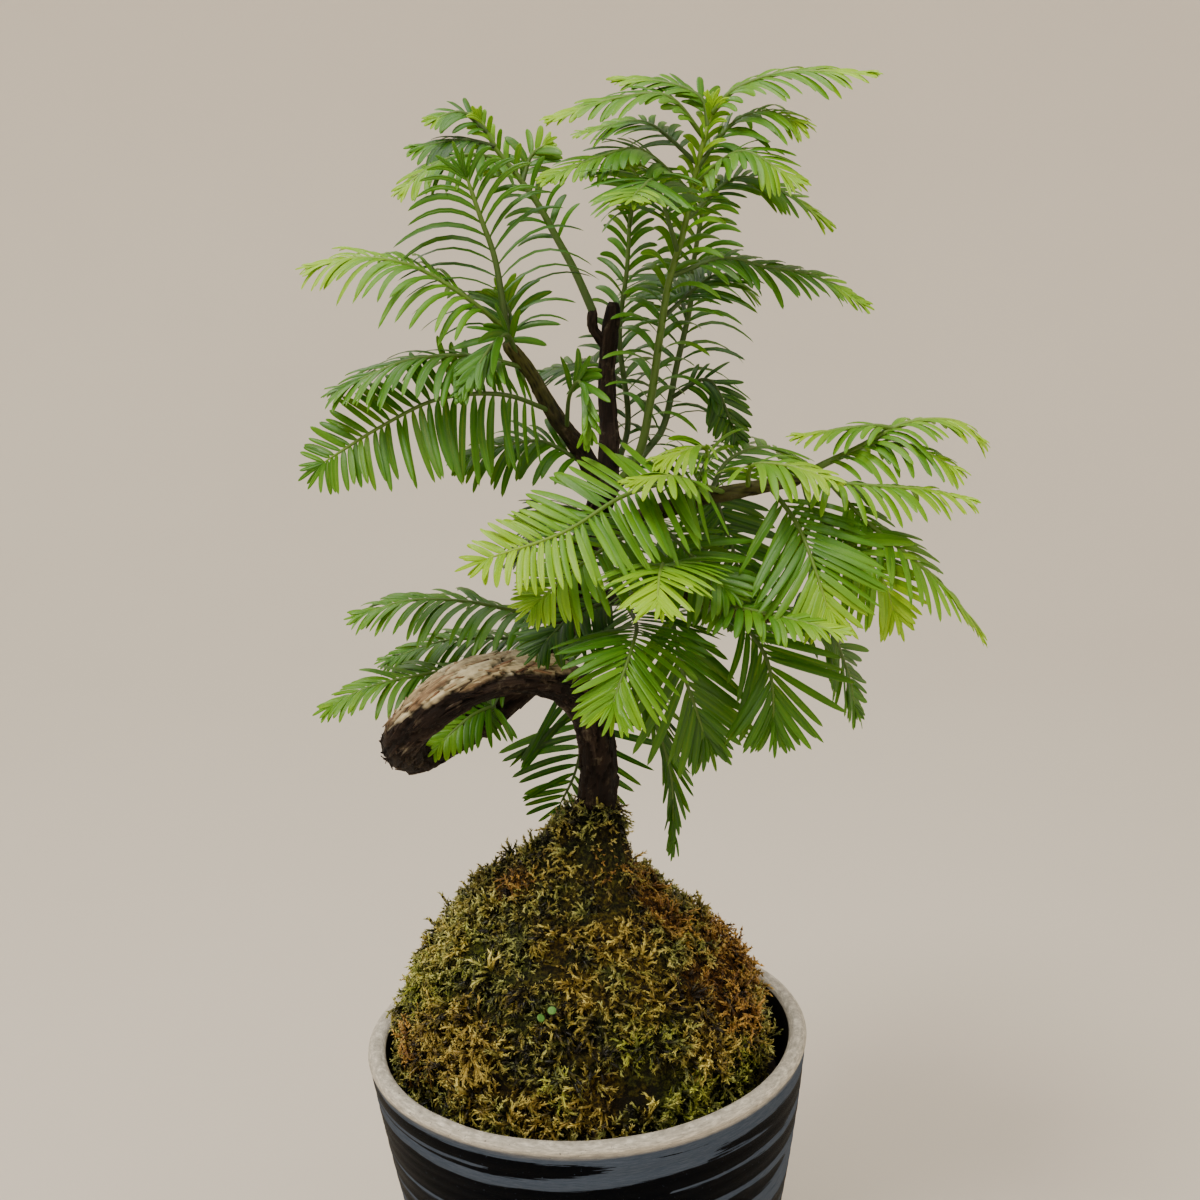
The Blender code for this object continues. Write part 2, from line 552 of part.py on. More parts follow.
def shoot_paths(wood):
    """Each shoot's path with its radius, from the middle of what it grows from."""
    paths = dict(wood)
    for name, shoot in SHOOTS.items():
        parent = paths[shoot.parent]
        root, _ = along(parent, shoot.at * distances(parent)[-1])
        path = smooth([tuple(root)] + list(shoot.route), STEM_STEP)
        foot = STEM_RADII.get(name, SHOOT_RADIUS)
        share = distances(path) / distances(path)[-1]
        paths[name] = np.column_stack([path, foot * (1 - (1 - TIP_SHARE) * share)])
    return paths


def flat_normal(name):
    """The direction that a shoot's flat side faces."""
    lean = math.radians(SHOOTS[name].face)
    turn = math.radians(SHOOTS[name].turn)
    return np.array([math.sin(lean) * math.sin(turn), -math.sin(lean) * math.cos(turn), math.cos(lean)])


def needle_share(u):
    """A needle's length beside the longest, from the foot (0) to the tip (1) of its shoot."""
    foot = FOOT_NEEDLE + (1 - FOOT_NEEDLE) * min(u / FULL_FROM, 1.0)
    return foot * (1.0 - TIP_LOSS * max(0.0, (u - SHORTER_FROM) / (1 - SHORTER_FROM)) ** TIP_CURVE)


def needle_places(name, path):
    """Root, direction, width's direction and length of each needle, in pairs with one at the tip."""
    shoot = SHOOTS[name]
    total = distances(path)[-1]
    normal = flat_normal(name)
    count = max(2, int((1 - shoot.bare) * total / PAIR_SPACING))
    for i in range(count + 1):
        u = shoot.bare + (1 - shoot.bare) * i / count
        point, tangent = along(path, u * total)
        side = unit(np.cross(normal, tangent))
        up = np.cross(tangent, side)
        twist = math.radians(shoot.twist * (i % 2 - 0.5)) if shoot.twist else 0.0
        side = math.cos(twist) * side + math.sin(twist) * up
        up = np.cross(tangent, side)
        length = shoot.needle * needle_share(u)
        if i == count:
            yield point - TIP_SINK * tangent, tangent, side, length
            continue
        forward = math.radians(shoot.angle - ANGLE_CLOSING * u * u)
        for hand in (-1, 1):
            out = math.cos(forward) * tangent + hand * math.sin(forward) * side
            direction = unit(out + (NEEDLE_RISE + TIP_RISE * u * u) * up)
            yield point + hand * PAIR_OFFSET * tangent, direction, unit(np.cross(up, direction)), length


def needle_line(root, direction, length, hang):
    """Root, shoulder and point of a needle that droops more towards its end."""
    down = np.array([0.0, 0.0, -hang * length])
    reach = direction * length
    return np.array([root, root + SHOULDER * reach + SHOULDER ** 2 * down, root + reach + down])


class Room:
    """What is placed so far, as short lines with a radius and the node each belongs to."""

    def __init__(self):
        self.nodes = []
        self.starts = []
        self.ends = []
        self.radii = []

    def add(self, node, points, radius):
        for start, end in zip(points, points[1:]):
            self.nodes.append(node)
            self.starts.append(start[:3])
            self.ends.append(end[:3])
            self.radii.append(radius)

    def freeze(self):
        self.table = [np.array(column) for column in (self.nodes, self.starts, self.ends, self.radii)]

    def is_clear(self, node, points):
        """Whether a needle stays off every other node and, past its foot, off the rest of its own."""
        nodes, starts, ends, radii = self.table
        spread = np.linspace(FIRST_SAMPLE, 1.0, SAMPLES)
        at = np.column_stack([np.interp(spread, (0.0, SHOULDER, 1.0), points[:, k]) for k in range(3)])
        line = ends - starts
        t = np.clip(((at[:, None] - starts) * line).sum(2) / (line * line).sum(1), 0.0, 1.0)
        away = np.linalg.norm(at[:, None] - starts - t[..., None] * line, axis=2) - radii
        own = nodes == node
        away[:, own] += NEEDLE_REACH - OWN_REACH
        away[np.ix_(spread < FOOT_SHARE, own)] = np.inf
        return away.min() > NEEDLE_REACH


def turned_direction(direction, across, turn, lift):
    up = np.cross(direction, across)
    a, b = math.radians(turn), math.radians(lift)
    return unit(direction + math.tan(a) * across + math.tan(b) * up)


def fit_needle(room, node, root, direction, across, length, hang):
    """A needle's line and its width's direction, turned or shortened clear of the others, or None."""
    for share in SHARES:
        for turn, lift in TURNS:
            aimed = turned_direction(direction, across, turn, lift)
            points = needle_line(root, aimed, length * share, hang)
            if room.is_clear(node, points):
                return points, unit(across - aimed * np.dot(across, aimed))
    return None


def needle_mesh(name, points, across, collection):
    """A three-sided needle: flat below with a low ridge above, widest at its shoulder."""
    root, shoulder, tip = points
    up = unit(np.cross(unit(tip - root), across))
    vertices = []
    sections = ((root, ROOT_WIDTH, ROOT_THICKNESS), (shoulder, NEEDLE_WIDTH, NEEDLE_THICKNESS))
    for centre, width, thickness in sections:
        low = centre - thickness / 3 * up
        vertices += [low - width / 2 * across, low + width / 2 * across, centre + 2 * thickness / 3 * up]
    vertices.append(tip)
    faces = [(0, 2, 1)]
    faces += [(k, (k + 1) % 3, 3 + (k + 1) % 3, 3 + k) for k in range(3)]
    faces += [(3 + k, 3 + (k + 1) % 3, 6) for k in range(3)]
    return add_object(name, vertices, faces, "leaf", collection)


def face_out(obj):
    bm = bmesh.new()
    bm.from_mesh(obj.data)
    bmesh.ops.recalc_face_normals(bm, faces=bm.faces)
    bm.to_mesh(obj.data)
    bm.free()


def build_shoots(paths, cutter):
    """Each leafy node: its stems and needles, joined in one body and cut back to its seat on the wood."""
    nodes = {}
    for name, shoot in SHOOTS.items():
        nodes.setdefault(shoot.node, []).append(name)
    room = Room()
    for name in ["trunk", *TWIGS]:
        for start, end in zip(paths[name], paths[name][1:]):
            room.add("wood", [start, end], max(start[3], end[3]) + BARK_RIDGE + GAP)
    for name, shoot in SHOOTS.items():
        room.add(shoot.node, paths[name], paths[name][0][3] + STEM_AIR)
    room.freeze()
    for node, names in nodes.items():
        group = bpy.data.collections.new(node + "_parts")
        bpy.context.scene.collection.children.link(group)
        body = None
        for name in names:
            stem = tube(name if body else node, paths[name], SHOOT_SIDES, "leaf", flat=flat_normal(name),
                        collection=group if body else None)
            body = body or stem
            for k, (root, direction, across, length) in enumerate(needle_places(name, paths[name])):
                fitted = fit_needle(room, node, root, direction, across, length, SHOOTS[name].hang)
                if fitted:
                    points, wide = fitted
                    face_out(needle_mesh(f"{name}_needle_{k}", points, wide, group))
                    room.add(node, points, NEEDLE_WIDTH / 2)
        room.freeze()
        join_group(body, group)
        boolean(body, "DIFFERENCE", cutter)
        keep_largest(body)


def main():
    clear_scene()
    build_pot()
    build_soil()
    build_moss()
    wood = wood_paths()
    build_wood("trunk", wood)
    cutter = as_cutter(build_wood("trunk_cutter", wood, GAP))
    build_shoots(shoot_paths(wood), cutter)


main()
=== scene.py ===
"""The dressed dawn redwood bonsai: needles, bark, moss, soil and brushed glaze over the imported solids.

Lengths are written in millimetres and times MM. The tree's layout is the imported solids' own layout,
with closer pairs of finely shaped needles.
"""

import json
import math
from collections import namedtuple

import bpy
import numpy as np
from mathutils import Matrix, Vector, noise

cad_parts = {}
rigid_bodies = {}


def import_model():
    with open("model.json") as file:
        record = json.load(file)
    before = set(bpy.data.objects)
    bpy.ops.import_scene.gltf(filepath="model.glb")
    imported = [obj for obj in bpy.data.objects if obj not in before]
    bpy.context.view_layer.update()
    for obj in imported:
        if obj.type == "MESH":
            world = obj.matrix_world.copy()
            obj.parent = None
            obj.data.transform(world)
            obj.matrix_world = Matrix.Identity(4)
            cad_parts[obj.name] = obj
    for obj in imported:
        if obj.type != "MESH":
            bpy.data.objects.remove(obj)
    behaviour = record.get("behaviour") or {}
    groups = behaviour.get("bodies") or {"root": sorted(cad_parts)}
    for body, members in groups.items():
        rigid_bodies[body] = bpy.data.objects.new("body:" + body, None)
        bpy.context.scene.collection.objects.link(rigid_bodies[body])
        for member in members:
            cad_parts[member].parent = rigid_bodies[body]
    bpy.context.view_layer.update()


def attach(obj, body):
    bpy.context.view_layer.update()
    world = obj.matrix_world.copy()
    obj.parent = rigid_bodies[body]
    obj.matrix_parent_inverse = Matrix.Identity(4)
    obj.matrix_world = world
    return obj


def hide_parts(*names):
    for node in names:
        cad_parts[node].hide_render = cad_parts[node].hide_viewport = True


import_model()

MM = 0.001
SEED = 11
UP = np.array([0.0, 0.0, 1.0])
SIDEWAYS = np.array([0.0, 1.0, 0.0])

# Pot
POT_HEIGHT = 80.0
RIM_RADIUS = 45.0
WALL = 3.6
FLOOR = 4.0
TAPER = 0.1175
TAPER_CURVE = 0.0389 / 40
EDGE_ROUND = 1.3
FOOT_ROUND = 1.2
FLOOR_ROUND = 2.0
DRAIN_RADIUS = 3.5
DRAIN_CIRCLE = 14.0
DRAINS = 3
POT_STEPS = 160
ROW_STEP = 0.8
THROWN = 0.07  # height of the turning marks left on the clay
WOBBLE = 0.12

# Brushed strokes on the pot: height, half thickness, first and last angle from the front towards
# the right in degrees, and 1 for dark or -1 for the bare clay left between.
UPPER_STROKES = (
    (75.1, 2.0, -205, 7, 1), (74.2, 0.5, -74, -20, -1), (76.2, 0.35, 15, 33, 1),
    (73.2, 1.5, 30, 150, 1), (70.6, 1.3, -3, 100, 1), (68.6, 2.2, -130, 64, 1),
    (71.3, 0.45, -100, -52, -1), (67.2, 0.5, 18, 92, -1),
)
STROKE_GAP = 4.9
LOWEST_STROKE = 3.5
HIGHEST_STROKE = 64.5
INK_REACH = 1.6  # how far from a stroke's edge the paint still changes
TAPER_ARC = 26.0  # the degrees over which a stroke's ends narrow
DRY_ARC = 34.0  # and over which its brush runs dry
WET = 0.9
# The lip's pale glaze is brightened on top by a painted highlight in the glaze's colours.
LIP_EDGE = (77.5, 78.6)  # the heights between which the lip's pale glaze starts
INSIDE_TOP = 78.9

# Root ball and moss
MOUND = ((68, 38.0), (74, 38.4), (80, 38.8), (86, 38.0), (92, 35.8), (97, 32.6), (102, 28.4),
         (107, 23.4), (110, 20.3), (114, 16.0), (118, 12.0), (121, 9.8), (124, 7.2))
MOSS_THICKNESS = 5.4
LEANS = ((67.7, 0.0), (68, -1.0), (92, -1.0), (100, -2.2), (108, -3.0), (114, -3.6), (118, -2.0),
         (121, -0.3), (124, 2.0))
COLLAR = (127.5, 4.6)  # height and radius round the trunk where the moss ends
SOIL_SHOULDER = 67.7
SOIL_GAP = 0.5
SOIL_TOP = 110.0
SOIL_STEPS = 120
BED_SINK = 3.3  # how far the moss's bed lies under the mound's mean surface
BED_STEPS = 200
BED_ROWS = 90
LUMP_SIZE = 6.0
LUMP_HEIGHT = 1.7
HOLLOW_DEPTH = 3.4
TUFTS = 960
TUFT_REACH = 2.4
TUFT_DOME = 1.5  # how far a tuft's edge lies under its middle
TUFT_SPRIGS = 12
SPRIG_LENGTH = 4.0
SPRIG_RADIUS = 0.28
SPRIG_SHAPE = (0.8, 1.0, 0.8)  # how thick a sprig's stalk is on its way up
SPRIG_SINK = 2.3  # how far a tuft's sprigs start under the mound's mean surface
LEAFLET_FACES = ((0, 2, 1), (0, 1, 3), (1, 2, 3), (2, 0, 3))
LEAFLETS = 7
SPRIG_KINDS = 14
# Hollows in the moss, and patches of colour and, for the dark ones, of painted shade round the hollows: place
# and reach.
HOLLOWS = ((8.6, -36.7, 85.7, 6.0), (13.2, -35.0, 86.5, 5.0), (-5.7, -23.5, 106.6, 4.6),
           (9.4, -10.8, 113.2, 4.0), (-15.7, -34.5, 86.9, 3.8), (-31.2, -24.2, 80.4, 3.6),
           (0.2, -34.2, 94.2, 3.4), (6.0, -14.5, 112.5, 2.6), (20.1, -24.8, 96.1, 2.4),
           (-19.2, -25.8, 98.7, 2.6), (30, 22, 88, 3.2), (-12, 36, 86, 3.2), (-36, 4, 84, 2.6),
           (20, 28, 96, 2.6), (-8, 24, 104, 2.8))
PATCHES = {
    "rust": ((30, -2, 98, 9), (32, 0, 95, 10), (15, -3, 111, 7), (19, -8, 107, 7), (7, -8, 119, 5),
        (32, -14, 91, 8), (-36, -15, 84, 6), (27, -15, 97, 8), (-14, -8, 116, 4), (34, 10, 92, 13),
        (-20, 26, 92, 9)),
    "gold": ((2, -38, 82, 7), (-24, -28, 90, 9), (-31, -20, 91, 7), (-10, -38, 81, 6), (14, -25, 101, 7),
        (8, -19, 108, 7), (-7, -9, 120, 4), (-15, -36, 84, 5), (26, -25, 90, 8), (1, -28, 102, 5),
        (-4, -20, 110, 4), (10, 34, 84, 9), (-34, 16, 88, 8)),
    "fresh": ((21, -31, 81, 8), (32, -20, 80, 8), (15, -28, 97, 6), (22, -8, 105, 5), (-35, -6, 94, 7),
        (-31, -17, 95, 7), (-4, -38, 86, 4), (10, -34, 92, 5), (11, -24, 103, 4), (-21, -16, 105, 4),
        (-6, 37, 82, 8)),
    "dark": ((-6, -23, 107, 7), (-14, -29, 98, 6), (9, -36, 86, 6), (0, -36, 92, 6), (10, -10, 113, 5),
        (-20, -15, 108, 5), (-10, -34, 93, 6), (-4, -31, 99, 5), (-21, -24, 99, 4), (4, -14, 114, 4),
        (20, -22, 99, 4), (-6, -16, 114, 4), (24, 24, 98, 6), (-30, 20, 90, 6)),
}
PATCH_STRENGTH = 0.85
SEEDLINGS = ((-5.6, -31.0, 99.6), (-7.7, -31.4, 98.4))
SEEDLING_RADIUS = 0.85
SEED_SIDES = 16
SEED_LEAF = ((0.2, 0.0), (0.75, 0.05), (1.0, 0.14), (0.8, 0.2), (0.25, 0.14))  # radius and rise
STALK = ((0, 0, 0), (0.4, 1.2, -1.0), (0.6, 2.6, -2.6))
STALK_RADIUS = 0.18

# Trunk and twigs: points along the middle with the radius there.
TRUNK = (
    (4, 0, 92, 4.3), (4, 0, 108, 4.0), (4, 0, 124, 3.8), (5, 0, 136, 3.7), (4, -1, 146, 3.7),
    (0, -5, 154, 3.8), (-6, -11, 158.5, 4.0), (-14, -17, 160, 4.1), (-22, -20, 157.5, 4.2),
    (-29, -18, 151.5, 4.1), (-32, -11, 145, 3.9), (-30, -3, 141.5, 3.7), (-23, 4, 142.5, 3.5),
    (-14, 9, 147.5, 3.4), (-6, 11, 153.5, 3.2), (-1, 9, 159.5, 3.1), (0, 6, 166, 2.9),
    (2, 3, 175, 2.7), (6, 1, 184, 2.5), (9, 0, 192, 2.4),
)
TWIGS = {
    "stub": ((9, 0, 190, 2.2), (10, 1, 200, 1.9), (10, 2, 212, 1.6), (11, 2, 220, 1.6), (12, 2, 226, 1.2)),
    "stub_fork": ((11, 2, 217, 1.1), (8, 2, 221, 0.9), (8, 2, 225, 0.9)),
    "left_branch": ((9, 0, 190, 2.0), (4, -2, 200, 1.7), (0, -4, 206, 1.5), (-4, -6, 214, 1.3),
                    (-8, -9, 220, 1.1)),
    "right_branch": ((6, 1, 182, 1.9), (14, -7, 186, 1.7), (24, -13, 190, 1.5), (34, -15, 192, 1.3),
                     (44, -13, 193, 1.1)),
    "low_branch": ((1, 5, 167, 1.8), (9, -5, 171, 1.6), (18, -13, 173, 1.4), (28, -17, 171, 1.2),
                   (38, -16, 168, 1.0)),
}
BARK_STEP = 0.5
BARK_SIDES = 60
TWIG_BARK_SIDES = 26
PLATE_LENGTH = 9.0
PLATE_WIDTH = 2.1
CRACK_DEPTH = 0.5
PLATE_LIFT = 0.3
PLATE_TILT = 0.5
FIBRE = 0.12
FLAKE_DEPTH = 0.16  # the small cracks inside a plate
LIMB_LUMPS = 0.35
PLATE_WARP = (2.2, 0.85)  # how far plates' edges stray along and across
FINE_WARP = (1.2, 0.6)
# Where the trunk's arch is paled: axis, where that starts and where it is full.
ARCH_FADES = ((2, 148, 156), (2, 168, 160), (0, 4, -3), (1, -1, -6))
FLAKES = 900
FLAKES_FROM = 0.22  # the share of the trunk's length under the lowest flakes
FLAKE_SINK = 0.1
FLAKE_SHAPE = ((0.0, 0.75), (0.3, 1.0), (0.65, 0.8), (0.9, 0.35))  # place along a flake, and its width there
FLAKE_SECTION = ((-1.0, 0.0), (0.0, 0.12), (1.0, 0.0), (0.0, -0.1))  # across and out

# Shoots: the solid it belongs to, without its "shoot_", what it grows from and where (0 foot, 1 tip), the
# longest needle, how far its flat side is turned up from level towards the front, the bare share of its foot,
# its age from 0, dark and old, to 1, bright yellow-green, set lower as painted shade on shoots that lie in
# shade, and points along it. Then, where it isn't as usual: the turn of its flat side about the upright, how
# far every other needle is twisted out of it, the needles' angle to the stem, how far they hang, how much
# younger the needles are at the tip, how far they bow, the space between pairs, the needles' width beside
# NEEDLE_WIDTH, how far they are turned to lie level, and the stem's radius.
PAIR_SPACING = 1.55
YOUNG_TIP = 0.4
Shoot = namedtuple("Shoot", "node parent at needle face bare age route "
                   "turn twist angle hang young bow spacing width level radius",
                   defaults=(0, 0, 60, 0.14, YOUNG_TIP, 0.03, PAIR_SPACING, 1.0, 0.2, 0.5))
SHOOTS = {
    "erect": Shoot("left_top", "left_branch", 0.97, 19, 88, 0.06, 0.34, ((-8, -10, 226), (-9, -11, 235),
        (-11, -12, 242), (-13, -12, 249)), angle=78, hang=0.18, young=0.15, bow=0.1, spacing=2.6,
        width=0.9, level=0.85, radius=0.75),
    "erect_foot": Shoot("left_top", "left_branch", 0.99, 11, 80, 0.1, 0.3, ((-7, -9, 222), (-7, -8, 225),
        (-8, -7, 228))),
    "arch": Shoot("left_top", "erect", 0.1, 14, 22, 0.15, 0.62, ((-14, -12, 228), (-23, -13, 234),
        (-32, -14, 236), (-39, -15, 235)), hang=0.4, spacing=1.8, width=0.9),
    "climber": Shoot("stub", "stub_fork", 0.95, 9, 70, 0.36, 0.4, ((5, 2, 232), (2, 2, 238), (-1, 2, 244),
        (-5, 2, 250), (-8, 2, 254), (-10, 2, 258), (-11, 2, 260)), twist=60, angle=66, bow=0.06,
        spacing=2.6, width=0.95, level=0.7, radius=0.85),
    "climber_tip": Shoot("stub", "climber", 0.93, 7, 30, 0.05, 0.42, ((-14, 1, 261), (-19, 0, 260)),
        level=0.5),
    "climber_dark": Shoot("stub", "climber", 0.86, 8, 26, 0.1, 0.2, ((-14, -1, 256), (-22, -3, 255)),
        angle=50, hang=0.25),
    "climber_light": Shoot("stub", "climber", 0.72, 9, 20, 0.1, 0.48, ((-11, -5, 253), (-18, -7, 252),
        (-24, -9, 248)), hang=0.3),
    "climber_right": Shoot("stub", "climber", 0.66, 7, 60, 0.2, 0.45, ((-2, 3, 253), (1, 3, 255))),
    "fan_left": Shoot("left_fan", "left_branch", 0.9, 9, 72, 0.2, 0.4, ((-7.5, -12.5, 221.5),
        (-10, -16, 220), (-13, -21, 216), (-15, -23, 213)), angle=30, hang=0.1, young=0.08),
    "left_high": Shoot("left_high", "left_branch", 0.82, 13, 16, 0.12, 0.46, ((-14, -13, 218),
        (-25, -17, 218), (-36, -19, 214)), hang=0.3, young=0.1),
    "left_mid": Shoot("left_mid", "left_branch", 0.55, 14, 58, 0.12, 0.42, ((-9, -13, 211),
        (-20, -16, 211), (-30, -18, 207), (-41, -20, 201)), angle=90, young=0.12, spacing=1.75),
    "left_low": Shoot("left_low", "left_branch", 0.17, 11, 34, 0.15, 0.38, ((-2, -4, 201), (-9, -5, 201),
        (-17, -6, 199)), hang=0.3, young=0.1),
    "left_front": Shoot("left_front", "left_branch", 0.42, 10, 80, 0.45, 0.38, ((3, -12, 210),
        (5, -17, 213), (6, -21, 209), (6, -22, 205)), angle=28, hang=0.1, young=0.2, spacing=2.0),
    "leader": Shoot("leader", "trunk", 0.985, 13, 80, 0.25, 0.5, ((15, -2, 197), (18, -3, 208),
        (20, -4, 219), (22, -5, 229), (25, -5, 238), (27, -5, 246), (29, -5, 253), (31, -5, 259)),
        twist=90, angle=72, hang=0.22, bow=0.07, spacing=3.0, level=0.8, radius=0.95),
    "top_right": Shoot("leader", "leader", 0.99, 9, 24, 0.05, 0.66, ((35, -7, 262), (42, -8, 264),
        (49, -9, 264), (57, -11, 263)), angle=48, hang=0.2),
    "top_left": Shoot("leader", "leader", 0.96, 7.5, 24, 0.1, 0.55, ((29, -4, 261), (23, -3, 264),
        (15, -2, 265)), angle=52),
    "top_front_left": Shoot("leader", "leader", 0.93, 8.5, 22, 0.1, 0.6, ((23, -8, 261), (14, -10, 261),
        (3, -13, 258)), angle=48),
    "top_back_left": Shoot("leader", "leader", 0.87, 8, 25, 0.2, 0.45, ((19, 3, 258), (8, 7, 257))),
    "second_right": Shoot("leader", "leader", 0.86, 11, 20, 0.15, 0.5, ((34, -5, 256), (40, -6, 258),
        (45, -8, 256)), hang=0.4),
    "second_front": Shoot("leader", "leader", 0.82, 10, 24, 0.15, 0.55, ((35, -12, 251), (43, -16, 246)),
        hang=0.25),
    "third_right": Shoot("leader", "leader", 0.74, 9, 26, 0.15, 0.48, ((35, -3, 247), (44, -2, 244),
        (51, 0, 239))),
    "third_left": Shoot("leader", "leader", 0.8, 9.5, 22, 0.1, 0.45, ((18, -10, 252), (10, -13, 251),
        (2, -16, 248))),
    "fourth_front": Shoot("leader", "leader", 0.66, 14, 18, 0.2, 0.4, ((20, -14, 246), (17, -23, 245),
        (15, -31, 243))),
    "fifth_right": Shoot("leader", "leader", 0.6, 9.5, 24, 0.15, 0.42, ((32, -4, 233), (40, -4, 231),
        (49, -3, 229), (57, -2, 224))),
    "sixth_back": Shoot("leader", "leader", 0.5, 10, 25, 0.2, 0.3, ((31, 1, 230), (37, 5, 227))),
    "second_stem": Shoot("second", "trunk", 0.97, 16, 75, 0.25, 0.3, ((17, 7, 197), (21, 10, 202),
        (24, 13, 213), (27, 14, 224), (28, 15, 232), (30, 14, 242), (31, 13, 248)), twist=60, angle=76,
        hang=0.3, young=0.2, bow=0.08, spacing=3.0, level=0.85, radius=0.85),
    "second_drooping": Shoot("second", "second_stem", 0.4, 7.5, 40, 0.2, 0.2, ((30, 9, 210), (35, 8, 199)),
        young=0.1),
    "second_back": Shoot("second", "second_stem", 0.62, 12, 30, 0.15, 0.22, ((24, 23, 230), (18, 33, 228)),
        young=0.1),
    "third_stem": Shoot("third", "trunk", 0.94, 12, 60, 0.2, 0.28, ((12, 9, 196), (14, 11, 204),
        (13, 12, 219), (15, 12, 232), (16, 12, 243), (16, 11, 250)), twist=80, angle=72, young=0.25,
        bow=0.06, spacing=2.8, level=0.85, radius=0.75),
    "third_back": Shoot("third", "third_stem", 0.45, 11, 25, 0.15, 0.22, ((7, 19, 214), (-2, 26, 212)),
        young=0.1),
    "crown": Shoot("third", "third_stem", 0.86, 12, 30, 0.15, 0.5, ((17, 4, 248), (16, -3, 250)), hang=0.3),
    "right_far": Shoot("right_far", "right_branch", 1, 10, 8, 0.2, 0.64, ((48, -11, 195), (55, -11, 198),
        (64, -10, 202), (73, -9, 202), (77, -9, 199)), hang=0.4, radius=0.75),
    "right_far_left": Shoot("right_far", "right_far", 0.55, 8.5, 10, 0.1, 0.66, ((57, -11, 202),
        (45, -12, 201)), angle=48, hang=0.25),
    "right_far_low": Shoot("right_far", "right_far", 0.4, 8.5, 12, 0.1, 0.59, ((65, -13, 198),
        (72, -14, 194)), hang=0.3),
    "right_side": Shoot("right_far", "right_far", 0.06, 8.5, 10, 0.15, 0.66, ((50, -18, 193),
        (58, -19, 192), (66, -19, 191), (73, -19, 189)), hang=0.4),
    "right_hanging": Shoot("right_far", "right_far", 0.12, 10, 14, 0.2, 0.6, ((55, -17, 186),
        (63, -21, 179), (70, -20, 172), (75, -18, 165)), hang=0.25),
    "right_middle": Shoot("right_far", "right_far", 0.02, 13, 42, 0.15, 0.58, ((46, -17, 188),
        (52, -22, 182), (57, -24, 176), (59, -24, 170))),
    "right_fan": Shoot("right_fan", "right_branch", 0.87, 16, 58, 0.15, 0.52, ((42, -22, 187),
        (44, -28, 181), (46, -32, 173))),
    "right_up": Shoot("right_up", "right_branch", 0.55, 9.5, 14, 0.15, 0.7, ((27, -17, 200),
        (19, -20, 199)), hang=0.35),
    "right_up_far": Shoot("right_up_far", "right_branch", 0.78, 9.5, 14, 0.15, 0.72, ((35, -20, 197),
        (41, -23, 197), (47, -26, 195)), hang=0.35),
    "right_front": Shoot("right_front", "right_branch", 0.7, 14, 44, 0.12, 0.58, ((22, -22, 195),
        (12, -28, 194), (1, -34, 189), (-12, -39, 186)), angle=86),
    "right_up_mid": Shoot("right_front", "right_front", 0.13, 9, 16, 0.15, 0.7, ((20, -29, 197),
        (14, -32, 197)), angle=50, hang=0.3),
    "right_back": Shoot("right_back", "right_branch", 0.62, 12, 25, 0.12, 0.44, ((32, -4, 196),
        (40, 6, 197), (47, 15, 193))),
    "inner_right": Shoot("right_back", "right_back", 0.15, 13, 65, 0.15, 0.28, ((30, -6, 187),
        (33, -4, 177), (34, -5, 168)), young=0.1),
    "front_mid": Shoot("front_mid", "right_branch", 0.42, 14, 40, 0.2, 0.48, ((13, -20, 186),
        (5, -28, 183), (-4, -33, 177)), angle=74),
    "inner_mid": Shoot("front_mid", "front_mid", 0.12, 13, 50, 0.2, 0.42, ((22, -20, 183), (26, -23, 179),
        (29, -26, 176)), young=0.15),
    "front_low": Shoot("front_low", "low_branch", 0.48, 15, 35, 0.12, 0.58, ((18, -26, 181),
        (17, -38, 182), (16, -47, 179)), young=0.5),
    "front_lower": Shoot("front_lower", "low_branch", 0.34, 17, 60, 0.15, 0.36, ((13, -22, 170),
        (12, -35, 169), (8, -43, 161)), angle=66),
    "front_under": Shoot("front_lower", "front_lower", 0.1, 12, 30, 0.15, 0.16, ((6, -16, 172),
        (1, -21, 171), (-4, -25, 167)), young=0.05),
    "low_right": Shoot("low_right", "low_branch", 0.7, 8.5, 20, 0.12, 0.54, ((31, -27, 173),
        (39, -33, 172), (47, -36, 170))),
    "low_fan": Shoot("low_fan", "low_branch", 0.85, 16, 78, 0.12, 0.38, ((36, -22, 163), (37, -25, 157),
        (37, -25, 151)), angle=50, hang=0.04, young=0.1, level=0.0),
    "low_far": Shoot("low_far", "low_branch", 1, 10, 60, 0.12, 0.36, ((48, -12, 166), (53, -8, 156),
        (55, -6, 147)), turn=45, young=0.15),
    "low_hanging": Shoot("low_hanging", "low_branch", 0.58, 16, 75, 0.15, 0.34, ((21, -18, 161),
        (23, -19, 154), (25, -19, 147)), angle=52, young=0.05, spacing=2.0, width=1.15, level=0.0),
    "low_inner": Shoot("low_inner", "low_branch", 0.2, 12, 85, 0.15, 0.32, ((12, -7, 158), (16, -7, 148),
        (19, -8, 136), (19, -9, 124)), turn=-55, angle=36, hang=0.08, young=0.05, spacing=2.3, level=0.0),
    "low_back": Shoot("low_back", "low_branch", 0.66, 11, 35, 0.15, 0.25, ((31, 4, 164), (40, 14, 159)),
        young=0.1),
    "inner_low": Shoot("low_back", "low_back", 0.12, 12, 55, 0.15, 0.12, ((26, -5, 175), (28, 1, 180),
        (30, 6, 184)), young=0.05),
    "rear_right": Shoot("rear_right", "trunk", 0.9, 12, 20, 0.12, 0.3, ((8, 12, 178), (14, 24, 181),
        (18, 36, 177)), young=0.1),
    "rear_left": Shoot("rear_left", "trunk", 0.94, 10, 25, 0.12, 0.3, ((-1, 8, 184), (-6, 17, 180),
        (-10, 26, 173)), young=0.1),
    "inner_left": Shoot("inner_left", "trunk", 0.965, 8.5, 25, 0.2, 0.12, ((1, -6, 189), (-2, -11, 189),
        (-6, -15, 188)), young=0.05),
    "side_high": Shoot("side_high", "trunk", 0.85, 12, 18, 0.12, 0.46, ((-8, 3, 167), (-19, 2, 170),
